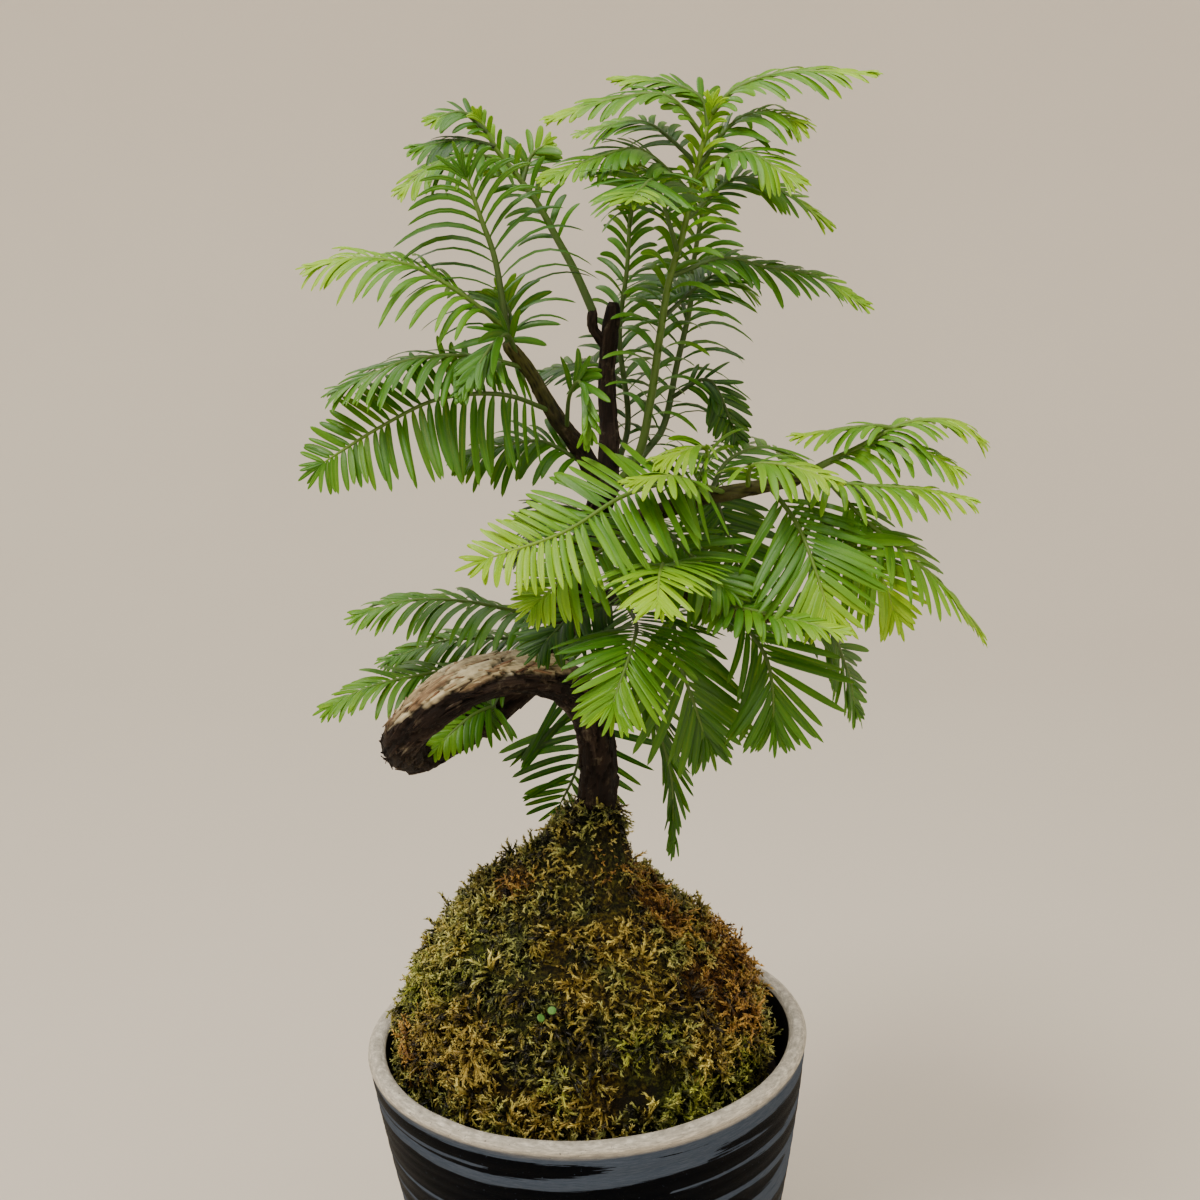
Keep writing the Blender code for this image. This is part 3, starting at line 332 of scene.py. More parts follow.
        (-30, 1, 171), (-39, 0, 169)), hang=0.35, young=0.2),
    "side_mid": Shoot("side_mid", "trunk", 0.83, 11, 20, 0.12, 0.4, ((-9, 11, 160), (-24, 12, 160),
        (-36, 11, 157)), hang=0.3, young=0.15),
    "side_low": Shoot("side_low", "trunk", 0.78, 11, 24, 0.15, 0.46, ((-12, 7, 155), (-24, 3, 156),
        (-38, -2, 155), (-46, -4, 152)), hang=0.25, young=0.25),
    "in_loop": Shoot("in_loop", "trunk", 0.69, 9, 60, 0.15, 0.36, ((-15, 0, 149), (-19, -5, 149),
        (-25, -9, 145))),
    "behind": Shoot("behind", "trunk", 0.76, 18, 85, 0.25, 0.12, ((-2, 16, 147), (2, 18, 140),
        (0, 18, 129), (-4, 18, 121)), angle=84, hang=0.16, young=0.05, spacing=2.5, width=1.1, level=0.0),
}
TIP_SHARE = 0.5  # how thick a stem is at its tip beside its foot
STEM_SIDES = 8
AIM = 0.5  # how far each way a path is read for its direction

# Needles
TIP_CLOSING = 0.45  # how much closer pairs stand at the tip
PAIR_OFFSET = 0.2
BARE_TIP = 0.25
NEEDLE_WIDTH = 1.42
NEEDLE_THICKNESS = 0.3
ANGLE_CLOSING = 30  # how many degrees further forward needles lie at the tip
NEEDLE_RISE = -0.14
TIP_RISE = 0.3
FOOT_NEEDLE = 0.62  # the first needle's length beside the longest
FULL_FROM = 0.3
SHORTER_FROM = 0.45
TIP_LOSS = 0.62
TIP_CURVE = 1.4
NEEDLE_RINGS = (0.0, 0.05, 0.13, 0.26, 0.42, 0.58, 0.73, 0.86, 0.95)
NEEDLE_SHAPE = (0.32, 0.42, 0.74, 0.93, 1.0, 1.0, 0.93, 0.75, 0.48)
NEEDLE_SECTION = ((1, -0.15), (0.5, 0.5), (0, 0.2), (-0.5, 0.5), (-1, -0.15))
# The needles round the growing point: degrees from straight ahead, rise, and length beside the longest.
TIP_NEEDLES = ((-32.0, 0.1, 0.34), (30.0, 0.16, 0.36), (-12.0, 0.34, 0.3), (14.0, -0.1, 0.3), (0.0, 0.2, 0.4))
TIP_SINK = 0.4
TIP_HANG = 0.14

CAMERA_PLACE = (6.8, -284.0, 232.5)
CAMERA_PITCH = 12.5
CAMERA_ROLL = -2.7
CAMERA_LENS = 45.0
STAGE_STEPS = 96
STAGE_FLAT = 0.55
STAGE_SWEEP = 0.45
STAGE_TOP = 1.4
# Name, place and aim in metres, size, power and colour.
LAMPS = (
    ("key", (-0.26, -0.42, 1.05), (0, 0, 0.17), 0.34, 8.0, (1.0, 0.95, 0.87)),
    ("fill", (0.75, -0.50, 0.75), (0, 0, 0.14), 0.6, 1.4, (1.0, 0.97, 0.93)),
    ("top", (0.1, 0.1, 1.3), (0, 0.1, 0.0), 0.7, 6.5, (1.0, 0.975, 0.94)),
    ("back", (-0.5, 0.65, 0.95), (0, 0, 0.18), 0.4, 2.0, (1.0, 0.98, 0.96)),
)


class Look:
    """A procedural material and the nodes that make it up."""

    def __init__(self, name):
        self.material = bpy.data.materials.new(name)
        self.material.use_nodes = True
        self.tree = self.material.node_tree
        self.shader = self.tree.nodes["Principled BSDF"]

    def give(self, socket, value):
        """Gives a socket a number, a colour or another node's output."""
        if isinstance(value, bpy.types.NodeSocket):
            self.tree.links.new(value, socket)
        else:
            socket.default_value = value

    def put(self, kind, **sockets):
        made = self.tree.nodes.new("ShaderNode" + kind)
        for key, value in sockets.items():
            self.give(made.inputs[key], value)
        return made

    def value(self, name, output="Fac"):
        """One of the mesh's own values at each point."""
        made = self.put("Attribute")
        made.attribute_name = name
        return made.outputs[output]

    def calculate(self, operation, *values, clamp=False):
        made = self.put("Math")
        made.operation = operation
        made.use_clamp = clamp
        for socket, value in zip(made.inputs, values):
            self.give(socket, value)
        return made.outputs[0]

    def times(self, first, second, plus=0.0, clamp=False):
        return self.calculate("MULTIPLY_ADD", first, second, plus, clamp=clamp)

    def ramp(self, factor, *stops):
        """A ramp through stops, each a place with its colour or grey level."""
        made = self.put("ValToRGB", Fac=factor)
        elements = made.color_ramp.elements
        while len(elements) < len(stops):
            elements.new(0.5)
        for element, (place, level) in zip(elements, stops):
            element.position = place
            element.color = (*level, 1.0) if isinstance(level, tuple) else (level, level, level, 1.0)
        return made.outputs["Color"]

    def mix(self, factor, first, second):
        """From the first colour to the second by a factor."""
        made = self.put("Mix")
        made.data_type = "RGBA"
        for index, value in ((0, factor), (6, first), (7, second)):
            self.give(made.inputs[index], (*value, 1.0) if isinstance(value, tuple) else value)
        return made.outputs[2]

    def noise(self, place, scale, detail, rough):
        moved = self.put("Mapping", Vector=place, Scale=scale).outputs["Vector"]
        return self.put("TexNoise", Vector=moved, Scale=1.0, Detail=detail, Roughness=rough).outputs["Fac"]

    def grain(self, size, detail=4.0, rough=0.55, stretch=1.0):
        """Noise of about that size in millimetres over the object, its height times the stretch."""
        scale = tuple(1.0 / (MM * size * part) for part in (1, 1, stretch))
        return self.noise(self.put("TexCoord").outputs["Object"], scale, detail, rough)

    def finish(self, colour, roughness, height=None, depth=0.1, specular=0.5):
        """Links colour, roughness and, from a height, a bump of that depth in millimetres."""
        self.give(self.shader.inputs["Base Color"], colour)
        self.give(self.shader.inputs["Roughness"], roughness)
        self.shader.inputs["Specular IOR Level"].default_value = specular
        if height is not None:
            bump = self.put("Bump", Height=height, Distance=depth * MM, Strength=1.0)
            self.give(self.shader.inputs["Normal"], bump.outputs["Normal"])
        return self.material


def needle_material():
    look = Look("needle")
    blotch = look.calculate("SUBTRACT", look.grain(6.0, 3.0), 0.5)
    # The age value also holds painted shade: shoots that lie in shade have lower values, so their needles
    # come out darker.
    light = look.times(look.value("tone"), 0.16, look.times(blotch, 0.22, look.value("age")), clamp=True)
    colour = look.ramp(light, (0.0, (0.0065, 0.029, 0.001)), (0.25, (0.018, 0.081, 0.0015)),
                       (0.5, (0.050, 0.178, 0.002)), (0.72, (0.130, 0.325, 0.0025)),
                       (1.0, (0.34, 0.60, 0.005)))
    rib = look.calculate("POWER", look.calculate("SUBTRACT", 1.0, look.value("across")), 5.0)
    colour = look.mix(look.times(rib, 0.3), colour, (0.13, 0.28, 0.008))
    veins = look.grain(0.28, 2.0)
    colour = look.mix(look.ramp(veins, (0.3, 0.0), (0.75, 0.16)), colour, (0.02, 0.07, 0.004))
    for name, value in (("Weight", 0.12), ("Radius", (0.5, 1.0, 0.12)), ("Scale", 0.0012)):
        look.shader.inputs["Subsurface " + name].default_value = value
    return look.finish(colour, look.ramp(veins, (0.2, 0.34), (0.8, 0.5)), veins, 0.03, 0.35)


def stem_material():
    look = Look("stem")
    # The age value also holds painted shade: stems of shoots that lie in shade come out darker.
    colour = look.ramp(look.value("age"), (0.0, (0.014, 0.036, 0.005)), (0.4, (0.040, 0.098, 0.010)),
                       (0.75, (0.12, 0.24, 0.016)), (1.0, (0.32, 0.50, 0.035)))
    fine = look.grain(0.6, 4.0, stretch=3)
    colour = look.mix(look.ramp(fine, (0.35, 0.0), (0.7, 0.3)), colour, (0.10, 0.12, 0.03))
    return look.finish(colour, look.ramp(fine, (0.2, 0.45), (0.8, 0.65)), fine, 0.08)


def bark_material():
    """Dark bark with cracks darkened by painted shade, paled by weather where it is worn, and green on the
    young twigs.
    """
    look = Look("bark")
    flat = look.value("flat", "Vector")
    fibre = look.noise(flat, (2.6, 2.6, 0.22), 6.0, 0.62)
    strand = look.noise(flat, (5.5, 5.5, 0.6), 3.0, 0.55)
    mottle = look.times(fibre, 0.65, look.times(look.value("tone"), 0.35))
    dark = look.ramp(mottle, (0.25, (0.003, 0.0015, 0.001)), (0.45, (0.009, 0.0045, 0.003)),
                     (0.6, (0.024, 0.0135, 0.009)), (0.78, (0.06, 0.042, 0.031)))
    pale = look.ramp(mottle, (0.2, (0.09, 0.045, 0.02)), (0.35, (0.30, 0.195, 0.11)),
                     (0.5, (0.55, 0.45, 0.26)), (0.7, (0.82, 0.74, 0.49)))
    red = look.times(look.value("flake"), look.ramp(fibre, (0.4, 0.9), (0.6, 0.35)))
    pale = look.mix(red, pale, (0.17, 0.070, 0.033))
    ragged = look.times(look.calculate("SUBTRACT", look.grain(2.6, 5.0, 0.6), 0.56), 0.9)
    colour = look.mix(look.times(look.value("worn"), 1.15, ragged, clamp=True), dark, pale)
    colour = look.mix(look.times(look.value("green"), 0.75), colour, (0.10, 0.105, 0.02))
    # Painted shade: the cracks and the gaps between the small flakes are darkened towards black.
    deep = look.times(look.value("crack"), look.ramp(fibre, (0.3, 1.0), (0.7, 0.7)))
    colour = look.mix(deep, colour, (0.004, 0.002, 0.0015))
    roughness = look.ramp(fibre, (0.2, 0.7), (0.8, 0.95))
    return look.finish(colour, roughness, look.times(strand, 0.45, fibre), 0.35, 0.25)


def moss_colour(look, light):
    """Moss from its dark foot (0), near black there as painted shade, to its light tips (1), with the rusty,
    golden and fresh patches.
    """
    base = look.ramp(light, (0.0, (0.007, 0.005, 0.001)), (0.25, (0.130, 0.098, 0.011)),
                     (0.55, (0.43, 0.345, 0.042)), (1.0, (0.94, 0.83, 0.23)))
    grey = look.ramp(light, (0.0, (0.005, 0.0055, 0.0015)), (0.25, (0.082, 0.096, 0.016)),
                     (0.55, (0.29, 0.31, 0.060)), (1.0, (0.74, 0.76, 0.27)))
    colour = look.mix(look.ramp(look.grain(5.0, 4.0), (0.38, 0.0), (0.58, 1.0)), base, grey)
    for name, foot, (place, middle), tip in (
            ("fresh", (0.008, 0.010, 0.002), (0.33, (0.16, 0.195, 0.012)), (0.70, 0.76, 0.09)),
            ("gold", (0.014, 0.008, 0.002), (0.33, (0.29, 0.19, 0.018)), (0.96, 0.78, 0.19)),
            ("rust", (0.012, 0.0045, 0.001), (0.3, (0.23, 0.092, 0.010)), (0.88, 0.48, 0.085))):
        tint = look.ramp(light, (0.0, foot), (place, middle), (1.0, tip))
        colour = look.mix(look.value(name), colour, tint)
    return colour


def moss_material():
    look = Look("moss")
    # Lighter towards each sprig's tip; the near-black foot is painted shade deep in the turf.
    light = look.times(look.value("tone"), 0.5, look.value("along"), clamp=True)
    fine = look.grain(0.5, 3.0)
    return look.finish(moss_colour(look, light), look.ramp(fine, (0.2, 0.3), (0.8, 0.55)), fine, 0.1)


def moss_bed_material():
    look = Look("moss_bed")
    tuft = look.grain(0.8, 5.0, 0.65)
    # Painted shade: the bed keeps to the dark end of the moss's colours so the gaps between sprigs read as
    # shaded crevices, and it goes darker still in the hollows.
    bare = look.times(look.value("deep"), -2.6, 1.0, clamp=True)
    light = look.times(look.ramp(tuft, (0.44, 0.0), (0.66, 0.20)), bare)
    return look.finish(moss_colour(look, light), look.ramp(tuft, (0.2, 0.85), (0.8, 0.98)), tuft, 0.9, 0.2)


def soil_material():
    look = Look("soil")
    grit = look.grain(1.6, 8.0, 0.7)
    colour = look.ramp(grit, (0.3, (0.008, 0.005, 0.004)), (0.55, (0.034, 0.021, 0.013)),
                       (0.72, (0.085, 0.055, 0.034)), (0.8, (0.2, 0.16, 0.11)))
    return look.finish(colour, look.ramp(grit, (0.2, 0.8), (0.8, 1.0)), grit, 1.0)


def glaze_material():
    """Brushed dark strokes over grey clay, with a pale lip lit by a painted highlight and an inside made dark
    as painted shade.
    """
    look = Look("glaze")
    streaks = look.grain(9.0, 6.0, 0.62, 0.035)
    hairs = look.grain(5.0, 4.0, 0.6, 0.02)
    brush = look.grain(2.0, 6.0, 0.7, 0.12)
    specks = look.grain(0.55, 2.0)
    cloud = look.grain(14.0, 5.0)
    edge = look.times(look.calculate("SUBTRACT", streaks, 0.5), look.value("dry"), look.value("ink"))
    ink = look.times(look.ramp(edge, (0.47, 0.0), (0.53, 1.0)), look.ramp(specks, (0.70, 1.0), (0.76, 0.25)))
    clay = look.ramp(hairs, (0.25, (0.036, 0.053, 0.083)), (0.5, (0.060, 0.081, 0.120)),
                     (0.75, (0.093, 0.115, 0.158)))
    clay = look.mix(look.ramp(cloud, (0.35, 0.0), (0.7, 0.5)), clay, (0.042, 0.059, 0.094))
    clay = look.mix(look.ramp(brush, (0.45, 0.0), (0.7, 0.4)), clay, (0.13, 0.155, 0.20))
    paint = look.ramp(cloud, (0.35, (0.0003, 0.0010, 0.0028)), (0.65, (0.0006, 0.0011, 0.0020)))
    paint = look.mix(look.ramp(hairs, (0.62, 0.0), (0.85, 0.3)), paint, (0.005, 0.006, 0.008))
    # The lip's pale glaze is its own colour; its brightest stops are a painted highlight on its top.
    lip = look.ramp(brush, (0.3, (0.31, 0.29, 0.25)), (0.5, (0.50, 0.465, 0.395)), (0.72, (0.86, 0.81, 0.70)))
    lip = look.mix(look.ramp(specks, (0.66, 0.0), (0.74, 0.7)), lip, (0.08, 0.077, 0.073))
    colour = look.mix(look.value("lip"), look.mix(ink, clay, paint), lip)
    # Painted shade: the inside of the pot is made near black.
    colour = look.mix(look.value("inside"), colour, (0.014, 0.012, 0.011))
    rough = look.mix(look.value("lip"), look.ramp(ink, (0.0, 0.65), (1.0, 0.5)), (0.6, 0.6, 0.6))
    return look.finish(colour, rough, hairs, 0.05, 0.03)


def seedling_material():
    look = Look("seedling")
    fine = look.grain(0.8, 3.0)
    colour = look.ramp(fine, (0.3, (0.06, 0.19, 0.02)), (0.7, (0.12, 0.30, 0.05)))
    return look.finish(colour, look.ramp(fine, (0.2, 0.4), (0.8, 0.55)), fine, 0.05)


def backdrop_material():
    look = Look("backdrop")
    cloud = look.grain(400.0, 3.0)
    colour = look.ramp(cloud, (0.3, (0.657, 0.598, 0.51)), (0.7, (0.694, 0.633, 0.544)))
    return look.finish(colour, look.ramp(cloud, (0.2, 0.85), (0.8, 0.9)))


def linked(name, data):
    """An object with that data, linked to the scene."""
    obj = bpy.data.objects.new(name, data)
    bpy.context.scene.collection.objects.link(obj)
    return obj


def set_values(mesh, name, values):
    """Gives the mesh a value at each point for its material to read."""
    made = mesh.attributes.new(name, "FLOAT", "POINT")
    made.data.foreach_set("value", values.astype(np.float32))


class Piece:
    """Gathers the points, faces and point values of one visible piece."""

    def __init__(self, *names):
        self.points, self.faces, self.slots, self.flat = [], [], [], []
        self.values = {name: [] for name in names}
        self.count = 0

    def add(self, points, groups, slot=0, **values):
        for group in groups:
            self.faces += (np.asarray(group) + self.count).tolist()
            self.slots += [slot] * len(group)
        self.points.append(points)
        for name, parts in self.values.items():
            parts.append(np.broadcast_to(values.get(name, 0.0), len(points)))
        self.count += len(points)

    def build(self, name, looks, slot, *nodes, sharp=0):
        """Makes the object, which stands for the named solids."""
        mesh = bpy.data.meshes.new(name)
        mesh.from_pydata((np.vstack(self.points) * MM).tolist(), [], self.faces)
        for look in looks:
            mesh.materials.append(look)
        mesh.polygons.foreach_set("material_index", self.slots)
        for key, parts in self.values.items():
            set_values(mesh, key, np.concatenate(parts))
        if self.flat:
            made = mesh.attributes.new("flat", "FLOAT_VECTOR", "POINT")
            made.data.foreach_set("vector", np.vstack(self.flat).astype(np.float32).ravel())
        mesh.shade_smooth()
        if sharp:
            mesh.set_sharp_from_angle(angle=math.radians(sharp))
        obj = linked(name, mesh)
        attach(obj, "root")
        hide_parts(*nodes)
        return obj


def unit(vectors):
    return vectors / np.linalg.norm(vectors, axis=-1, keepdims=True)


def turned(first, second, angle):
    """Two square directions, turned by an angle in their plane."""
    return np.cos(angle) * first + np.sin(angle) * second, np.cos(angle) * second - np.sin(angle) * first


def smoothstep(low, high, values):
    t = np.clip((np.asarray(values, float) - low) / (high - low), 0.0, 1.0)
    return t * t * (3 - 2 * t)


def noise_at(points, size):
    """Noise from about -1 to 1 at each point, with features of that size."""
    return np.array([noise.noise(Vector(p)) for p in (np.asarray(points, float) / size).tolist()])


def noises_at(points, *parts):
    """The sum of noises, each given by its strength and the size of its features."""
    return sum(strength * noise_at(points, size) for strength, size in parts)


def circle(steps, start=0.0):
    """Even angles once round, the first a share of a step on."""
    return 2 * math.pi * (np.arange(steps) + start) / steps


def place_at(radius, angle, height, shift=0.0):
    """Points round an upright line that stands off by the shift."""
    return np.column_stack([radius * np.cos(angle) + shift, radius * np.sin(angle), height])


def lathe(profile, steps):
    """The radius, angle and height of each point when a profile is turned once round."""
    radius, height = (np.repeat(column, steps) for column in zip(*profile))
    return radius, np.tile(circle(steps), len(profile)), height


def smooth(points, step):
    """Points about a step apart on a Catmull-Rom curve through the given ones."""
    given = np.array(points, float)
    ends = np.vstack([2 * given[0] - given[1], given, 2 * given[-1] - given[-2]])
    out = []
    for a, b, c, d in zip(ends, ends[1:], ends[2:], ends[3:]):
        count = max(1, int(round(np.linalg.norm((c - b)[:3]) / step)))
        for t in np.arange(count) / count:
            out.append(0.5 * (2 * b + (c - a) * t + (2 * a - 5 * b + 4 * c - d) * t * t
                              + (3 * b - a - 3 * c + d) * t ** 3))
    out.append(given[-1])
    return np.array(out)


def distances(path):
    return np.concatenate([[0.0], np.cumsum(np.linalg.norm(np.diff(path[:, :3], axis=0), axis=1))])


def points_at(path, at):
    run = distances(path)
    return np.column_stack([np.interp(at, run, path[:, k]) for k in range(3)])


def directions_at(path, at):
    end = distances(path)[-1]
    return unit(points_at(path, np.minimum(at + AIM, end)) - points_at(path, np.maximum(at - AIM, 0.0)))


def frames(path, flat=None):
    """Two side directions at each point of a path, which don't spin about it, the first in its flat side."""
    tangents = unit(np.gradient(path[:, :3], axis=0))
    if flat is None:
        flat = SIDEWAYS if abs(tangents[0][1]) < 0.9 else np.array([1.0, 0.0, 0.0])
    side = unit(np.cross(flat, tangents[0]))
    sides = []
    for tangent in tangents:
        side = unit(side - tangent * np.dot(side, tangent))
        sides.append(side)
    sides = np.array(sides)
    return sides, np.cross(tangents, sides)


def tube(path, radius, angle, flat=None):
    """Rings of points round a path."""
    wide, high = frames(path, flat)
    around = np.cos(angle)[:, None] * wide[:, None] + np.sin(angle)[:, None] * high[:, None]
    return (path[:, None, :3] + radius * around).reshape(-1, 3)


def ring_faces(rings, sides):
    """The quads between rings of points, then the two caps."""
    i, k = np.meshgrid(np.arange(rings - 1), np.arange(sides), indexing="ij")
    m = (k + 1) % sides
    quads = np.stack([i * sides + k, i * sides + m, (i + 1) * sides + m, (i + 1) * sides + k], -1)
    ends = np.arange(sides)
    return quads.reshape(-1, 4), [ends[::-1]], [ends + (rings - 1) * sides]


def copied(groups, count, size):
    """The faces of many bodies of that many points, from the first one's faces."""
    first = (np.arange(count) * size)[:, None, None]
    return [(first + np.asarray(group)).reshape(-1, len(group[0])) for group in groups]


def shoot_paths():
    """The woody paths and each shoot's path with its radius, from the middle of what it grows from."""
    paths = {name: smooth(points, BARK_STEP) for name, points in (("trunk", TRUNK), *TWIGS.items())}
    for name, shoot in SHOOTS.items():
        parent = paths[shoot.parent]
        root = points_at(parent, np.array([shoot.at * distances(parent)[-1]]))[0]
        path = smooth([tuple(root)] + list(shoot.route), 1.0)
        share = distances(path) / distances(path)[-1]
        paths[name] = np.column_stack([path, shoot.radius * (1 - (1 - TIP_SHARE) * share)])
    return paths


def flat_normal(shoot):
    lean, turn = math.radians(shoot.face), math.radians(shoot.turn)
    return np.array([math.sin(lean) * math.sin(turn), -math.sin(lean) * math.cos(turn), math.cos(lean)])


def needle_share(u):
    """A needle's length beside the longest, from the foot (0) to the tip (1) of its shoot."""
    foot = FOOT_NEEDLE + (1 - FOOT_NEEDLE) * np.minimum(u / FULL_FROM, 1.0)
    return foot * (1.0 - TIP_LOSS * np.maximum(0.0, (u - SHORTER_FROM) / (1 - SHORTER_FROM)) ** TIP_CURVE)


def pair_places(bare, total, spacing):
    """Where along a shoot its pairs stand, closer together near its tip."""
    at = bare * total
    out = []
    while at < total - BARE_TIP:
        out.append(at)
        at += spacing * (1 - TIP_CLOSING * (at / total) ** 3)
    return np.array(out)


def add_needles(piece, root, direction, across, ahead, length, width, bow, age, rng, hang):
    """Flat needles with rounded tips and a sunk midrib, each one closed body."""
    count, rings, sides = len(root), len(NEEDLE_SHAPE), len(NEEDLE_SECTION)
    t = np.array([*NEEDLE_RINGS, 1.0])
    up = unit(np.cross(direction, across))
    droop = hang * rng.uniform(0.6, 1.4, count)
    sweep = rng.normal(0.09, 0.03, count)
    fold = rng.normal(0.1, 0.12, count)
    twist = rng.normal(0.0, 0.22, count)
    span = length[:, None, None]
    line = root[:, None] + span * direction[:, None] * t[:, None]
    line = line + span * (bow * 4 * t * (1 - t))[:, None] * UP
    line = line - span * (droop[:, None] * t * t)[..., None] * UP
    line = line + span * (sweep[:, None] * t * (1 - t) * 2)[..., None] * ahead[:, None]
    tangent = unit(np.gradient(line, axis=1))
    turn = (twist[:, None] * t)[..., None]
    wide = np.cos(turn) * across[:, None] + np.sin(turn) * up[:, None]
    wide = unit(wide - tangent * (wide * tangent).sum(-1, keepdims=True))
    high = np.cross(tangent, wide)
    shape = np.array(NEEDLE_SHAPE)
    over, lift = np.array(NEEDLE_SECTION).T
    half = (width / 2)[:, None] * shape
    thick = NEEDLE_THICKNESS * np.sqrt(shape) * np.ones((count, 1))
    rise = thick[..., None] * lift + half[..., None] * fold[:, None, None] * np.abs(over)
    points = (line[:, :rings, None] + (half[..., None] * over)[..., None] * wide[:, :rings, None]
              + rise[..., None] * high[:, :rings, None])
    size = rings * sides + 1
    points = np.concatenate([points.reshape(count, rings * sides, 3), line[:, -1:]], axis=1)
    quads, foot, (last,) = ring_faces(rings, sides)
    tips = np.stack([last, np.roll(last, -1), np.full(sides, rings * sides)], -1)
    along = np.append(np.repeat(NEEDLE_RINGS, sides), 1.0)
    middle = np.append(np.tile(np.abs(over), rings), 0.3)
    piece.add(points.reshape(-1, 3), copied([quads, foot, tips], count, size), 0,
              age=np.repeat(age, size) + 0.12 * np.tile(along, count) - 0.06, across=np.tile(middle, count),
              tone=np.repeat(rng.uniform(-0.5, 0.5, count), size))


def add_stem(piece, path, age, flat):
    """A shoot's green stem, rounded off at its tip."""
    u = distances(path) / distances(path)[-1]
    radius = path[:, 3] * np.sqrt(np.clip((1 - u) * 12 + 0.08, 0.0, 1.0))
    points = tube(path, radius[:, None, None], circle(STEM_SIDES, 0.5), flat)
    ages = np.repeat(age + YOUNG_TIP * u ** 2, STEM_SIDES)
    piece.add(points, ring_faces(len(path), STEM_SIDES), 1, age=ages)


def add_shoot(piece, shoot, path, rng):
    """One shoot: its stem, its needles in pairs and the small ones round its growing tip."""
    total = distances(path)[-1]
    normal = flat_normal(shoot)
    add_stem(piece, path, shoot.age, normal)
    for hand in (-1, 1):
        places = pair_places(shoot.bare, total, shoot.spacing)
        at = np.clip(places + hand * PAIR_OFFSET + rng.normal(0, 0.14, len(places)), 0.0, total)
        u = at / total
        tangent = directions_at(path, at)
        side = unit(np.cross(normal, tangent))
        up = np.cross(tangent, side)
        twist = shoot.twist * (np.arange(len(at)) % 2 - 0.5) + rng.normal(0, 5.0, len(at))
        side, up = turned(side, up, np.radians(twist)[:, None])
        forward = np.radians(shoot.angle - ANGLE_CLOSING * u * u + rng.normal(0, 3.0, len(u)))[:, None]
        lift = (NEEDLE_RISE + TIP_RISE * u * u + rng.normal(0, 0.06, len(u)))[:, None]
        direction = unit(np.cos(forward) * tangent + hand * np.sin(forward) * side + lift * up)
        ahead = unit(tangent - direction * (tangent * direction).sum(1)[:, None])
        share = needle_share(u)
        length = shoot.needle * share * rng.uniform(0.9, 1.06, len(u))
        width = NEEDLE_WIDTH * shoot.width * (0.55 + 0.45 * share) * rng.uniform(0.9, 1.12, len(u))
        level = (shoot.level * (1 - u * u))[:, None]
        across = unit(np.cross((1 - level) * up + level * UP, direction))
        add_needles(piece, points_at(path, at), direction, across, ahead, length, width, shoot.bow,
                    shoot.age + shoot.young * smoothstep(0.45, 1.0, u), rng, shoot.hang)
    add_tip(piece, path, normal, shoot.needle, shoot.age + shoot.young, rng)


def add_tip(piece, path, normal, needle, age, rng):
    """The last small needles, folded forward round the growing point."""
    turns, lifts, sizes = np.array(TIP_NEEDLES).T
    turns = np.radians(turns)
    count = len(turns)
    tangent = directions_at(path, distances(path)[-1:])
    side = unit(np.cross(normal, tangent))
    up = np.cross(tangent, side)
    direction = unit(np.cos(turns)[:, None] * tangent + np.sin(turns)[:, None] * side + lifts[:, None] * up)
    across = unit(np.cross(up, direction))
    root = np.repeat(path[-1:, :3], count, axis=0) - TIP_SINK * tangent
    length = needle * sizes * rng.uniform(0.9, 1.1, count)
    add_needles(piece, root, direction, across, across, length, np.full(count, 0.6 * NEEDLE_WIDTH), 0.02,
                np.full(count, age), rng, TIP_HANG)


def build_shoots(paths, looks):
    """Each solid's shoots in one piece, with its own random draws."""
    nodes = {}
    for name, shoot in SHOOTS.items():
        nodes.setdefault(shoot.node, []).append(name)
    for number, (node, names) in enumerate(nodes.items()):
        rng = np.random.default_rng([SEED, number])
        piece = Piece("age", "across", "tone")
        for name in names:
            add_shoot(piece, SHOOTS[name], paths[name], rng)
        piece.build("needles_" + node, looks, "leaf", "shoot_" + node, sharp=55)


def bark_cells(s, angle, radius, length, width, rng):
    """For each place on a limb: how far inside its plate it is, the plate's number and the place along it.
    The last value is how many plates there are."""
    seeds = []
    for row in range(int(s.max() / length) + 3):
        around = max(4, int(round(2 * math.pi * radius / width)))
        for k in range(around):
            seeds.append(((row - 0.5 + rng.uniform(-0.45, 0.45)) * length,
                          2 * math.pi * (k + 0.5 * (row % 2) + rng.uniform(-0.35, 0.35)) / around))
    seeds = np.array(seeds)
    found = []
    for part in np.array_split(np.arange(len(s)), max(1, len(s) // 4000)):
        ds = (s[part, None] - seeds[:, 0]) / length
        da = (angle[part, None] - seeds[:, 1] + math.pi) % (2 * math.pi) - math.pi
        away = np.hypot(ds, da * radius / width)
        order = np.argpartition(away, 1, axis=1)[:, :2]
        pair = np.take_along_axis(away, order, axis=1)
        own = np.where(pair[:, 0] <= pair[:, 1], order[:, 0], order[:, 1])
        ahead = np.take_along_axis(ds, own[:, None], axis=1)[:, 0]
        found.append((pair.max(axis=1) - pair.min(axis=1), own, ahead))
    inside, index, ahead = (np.concatenate(parts) for parts in zip(*found))
    return inside, index, ahead, len(seeds)


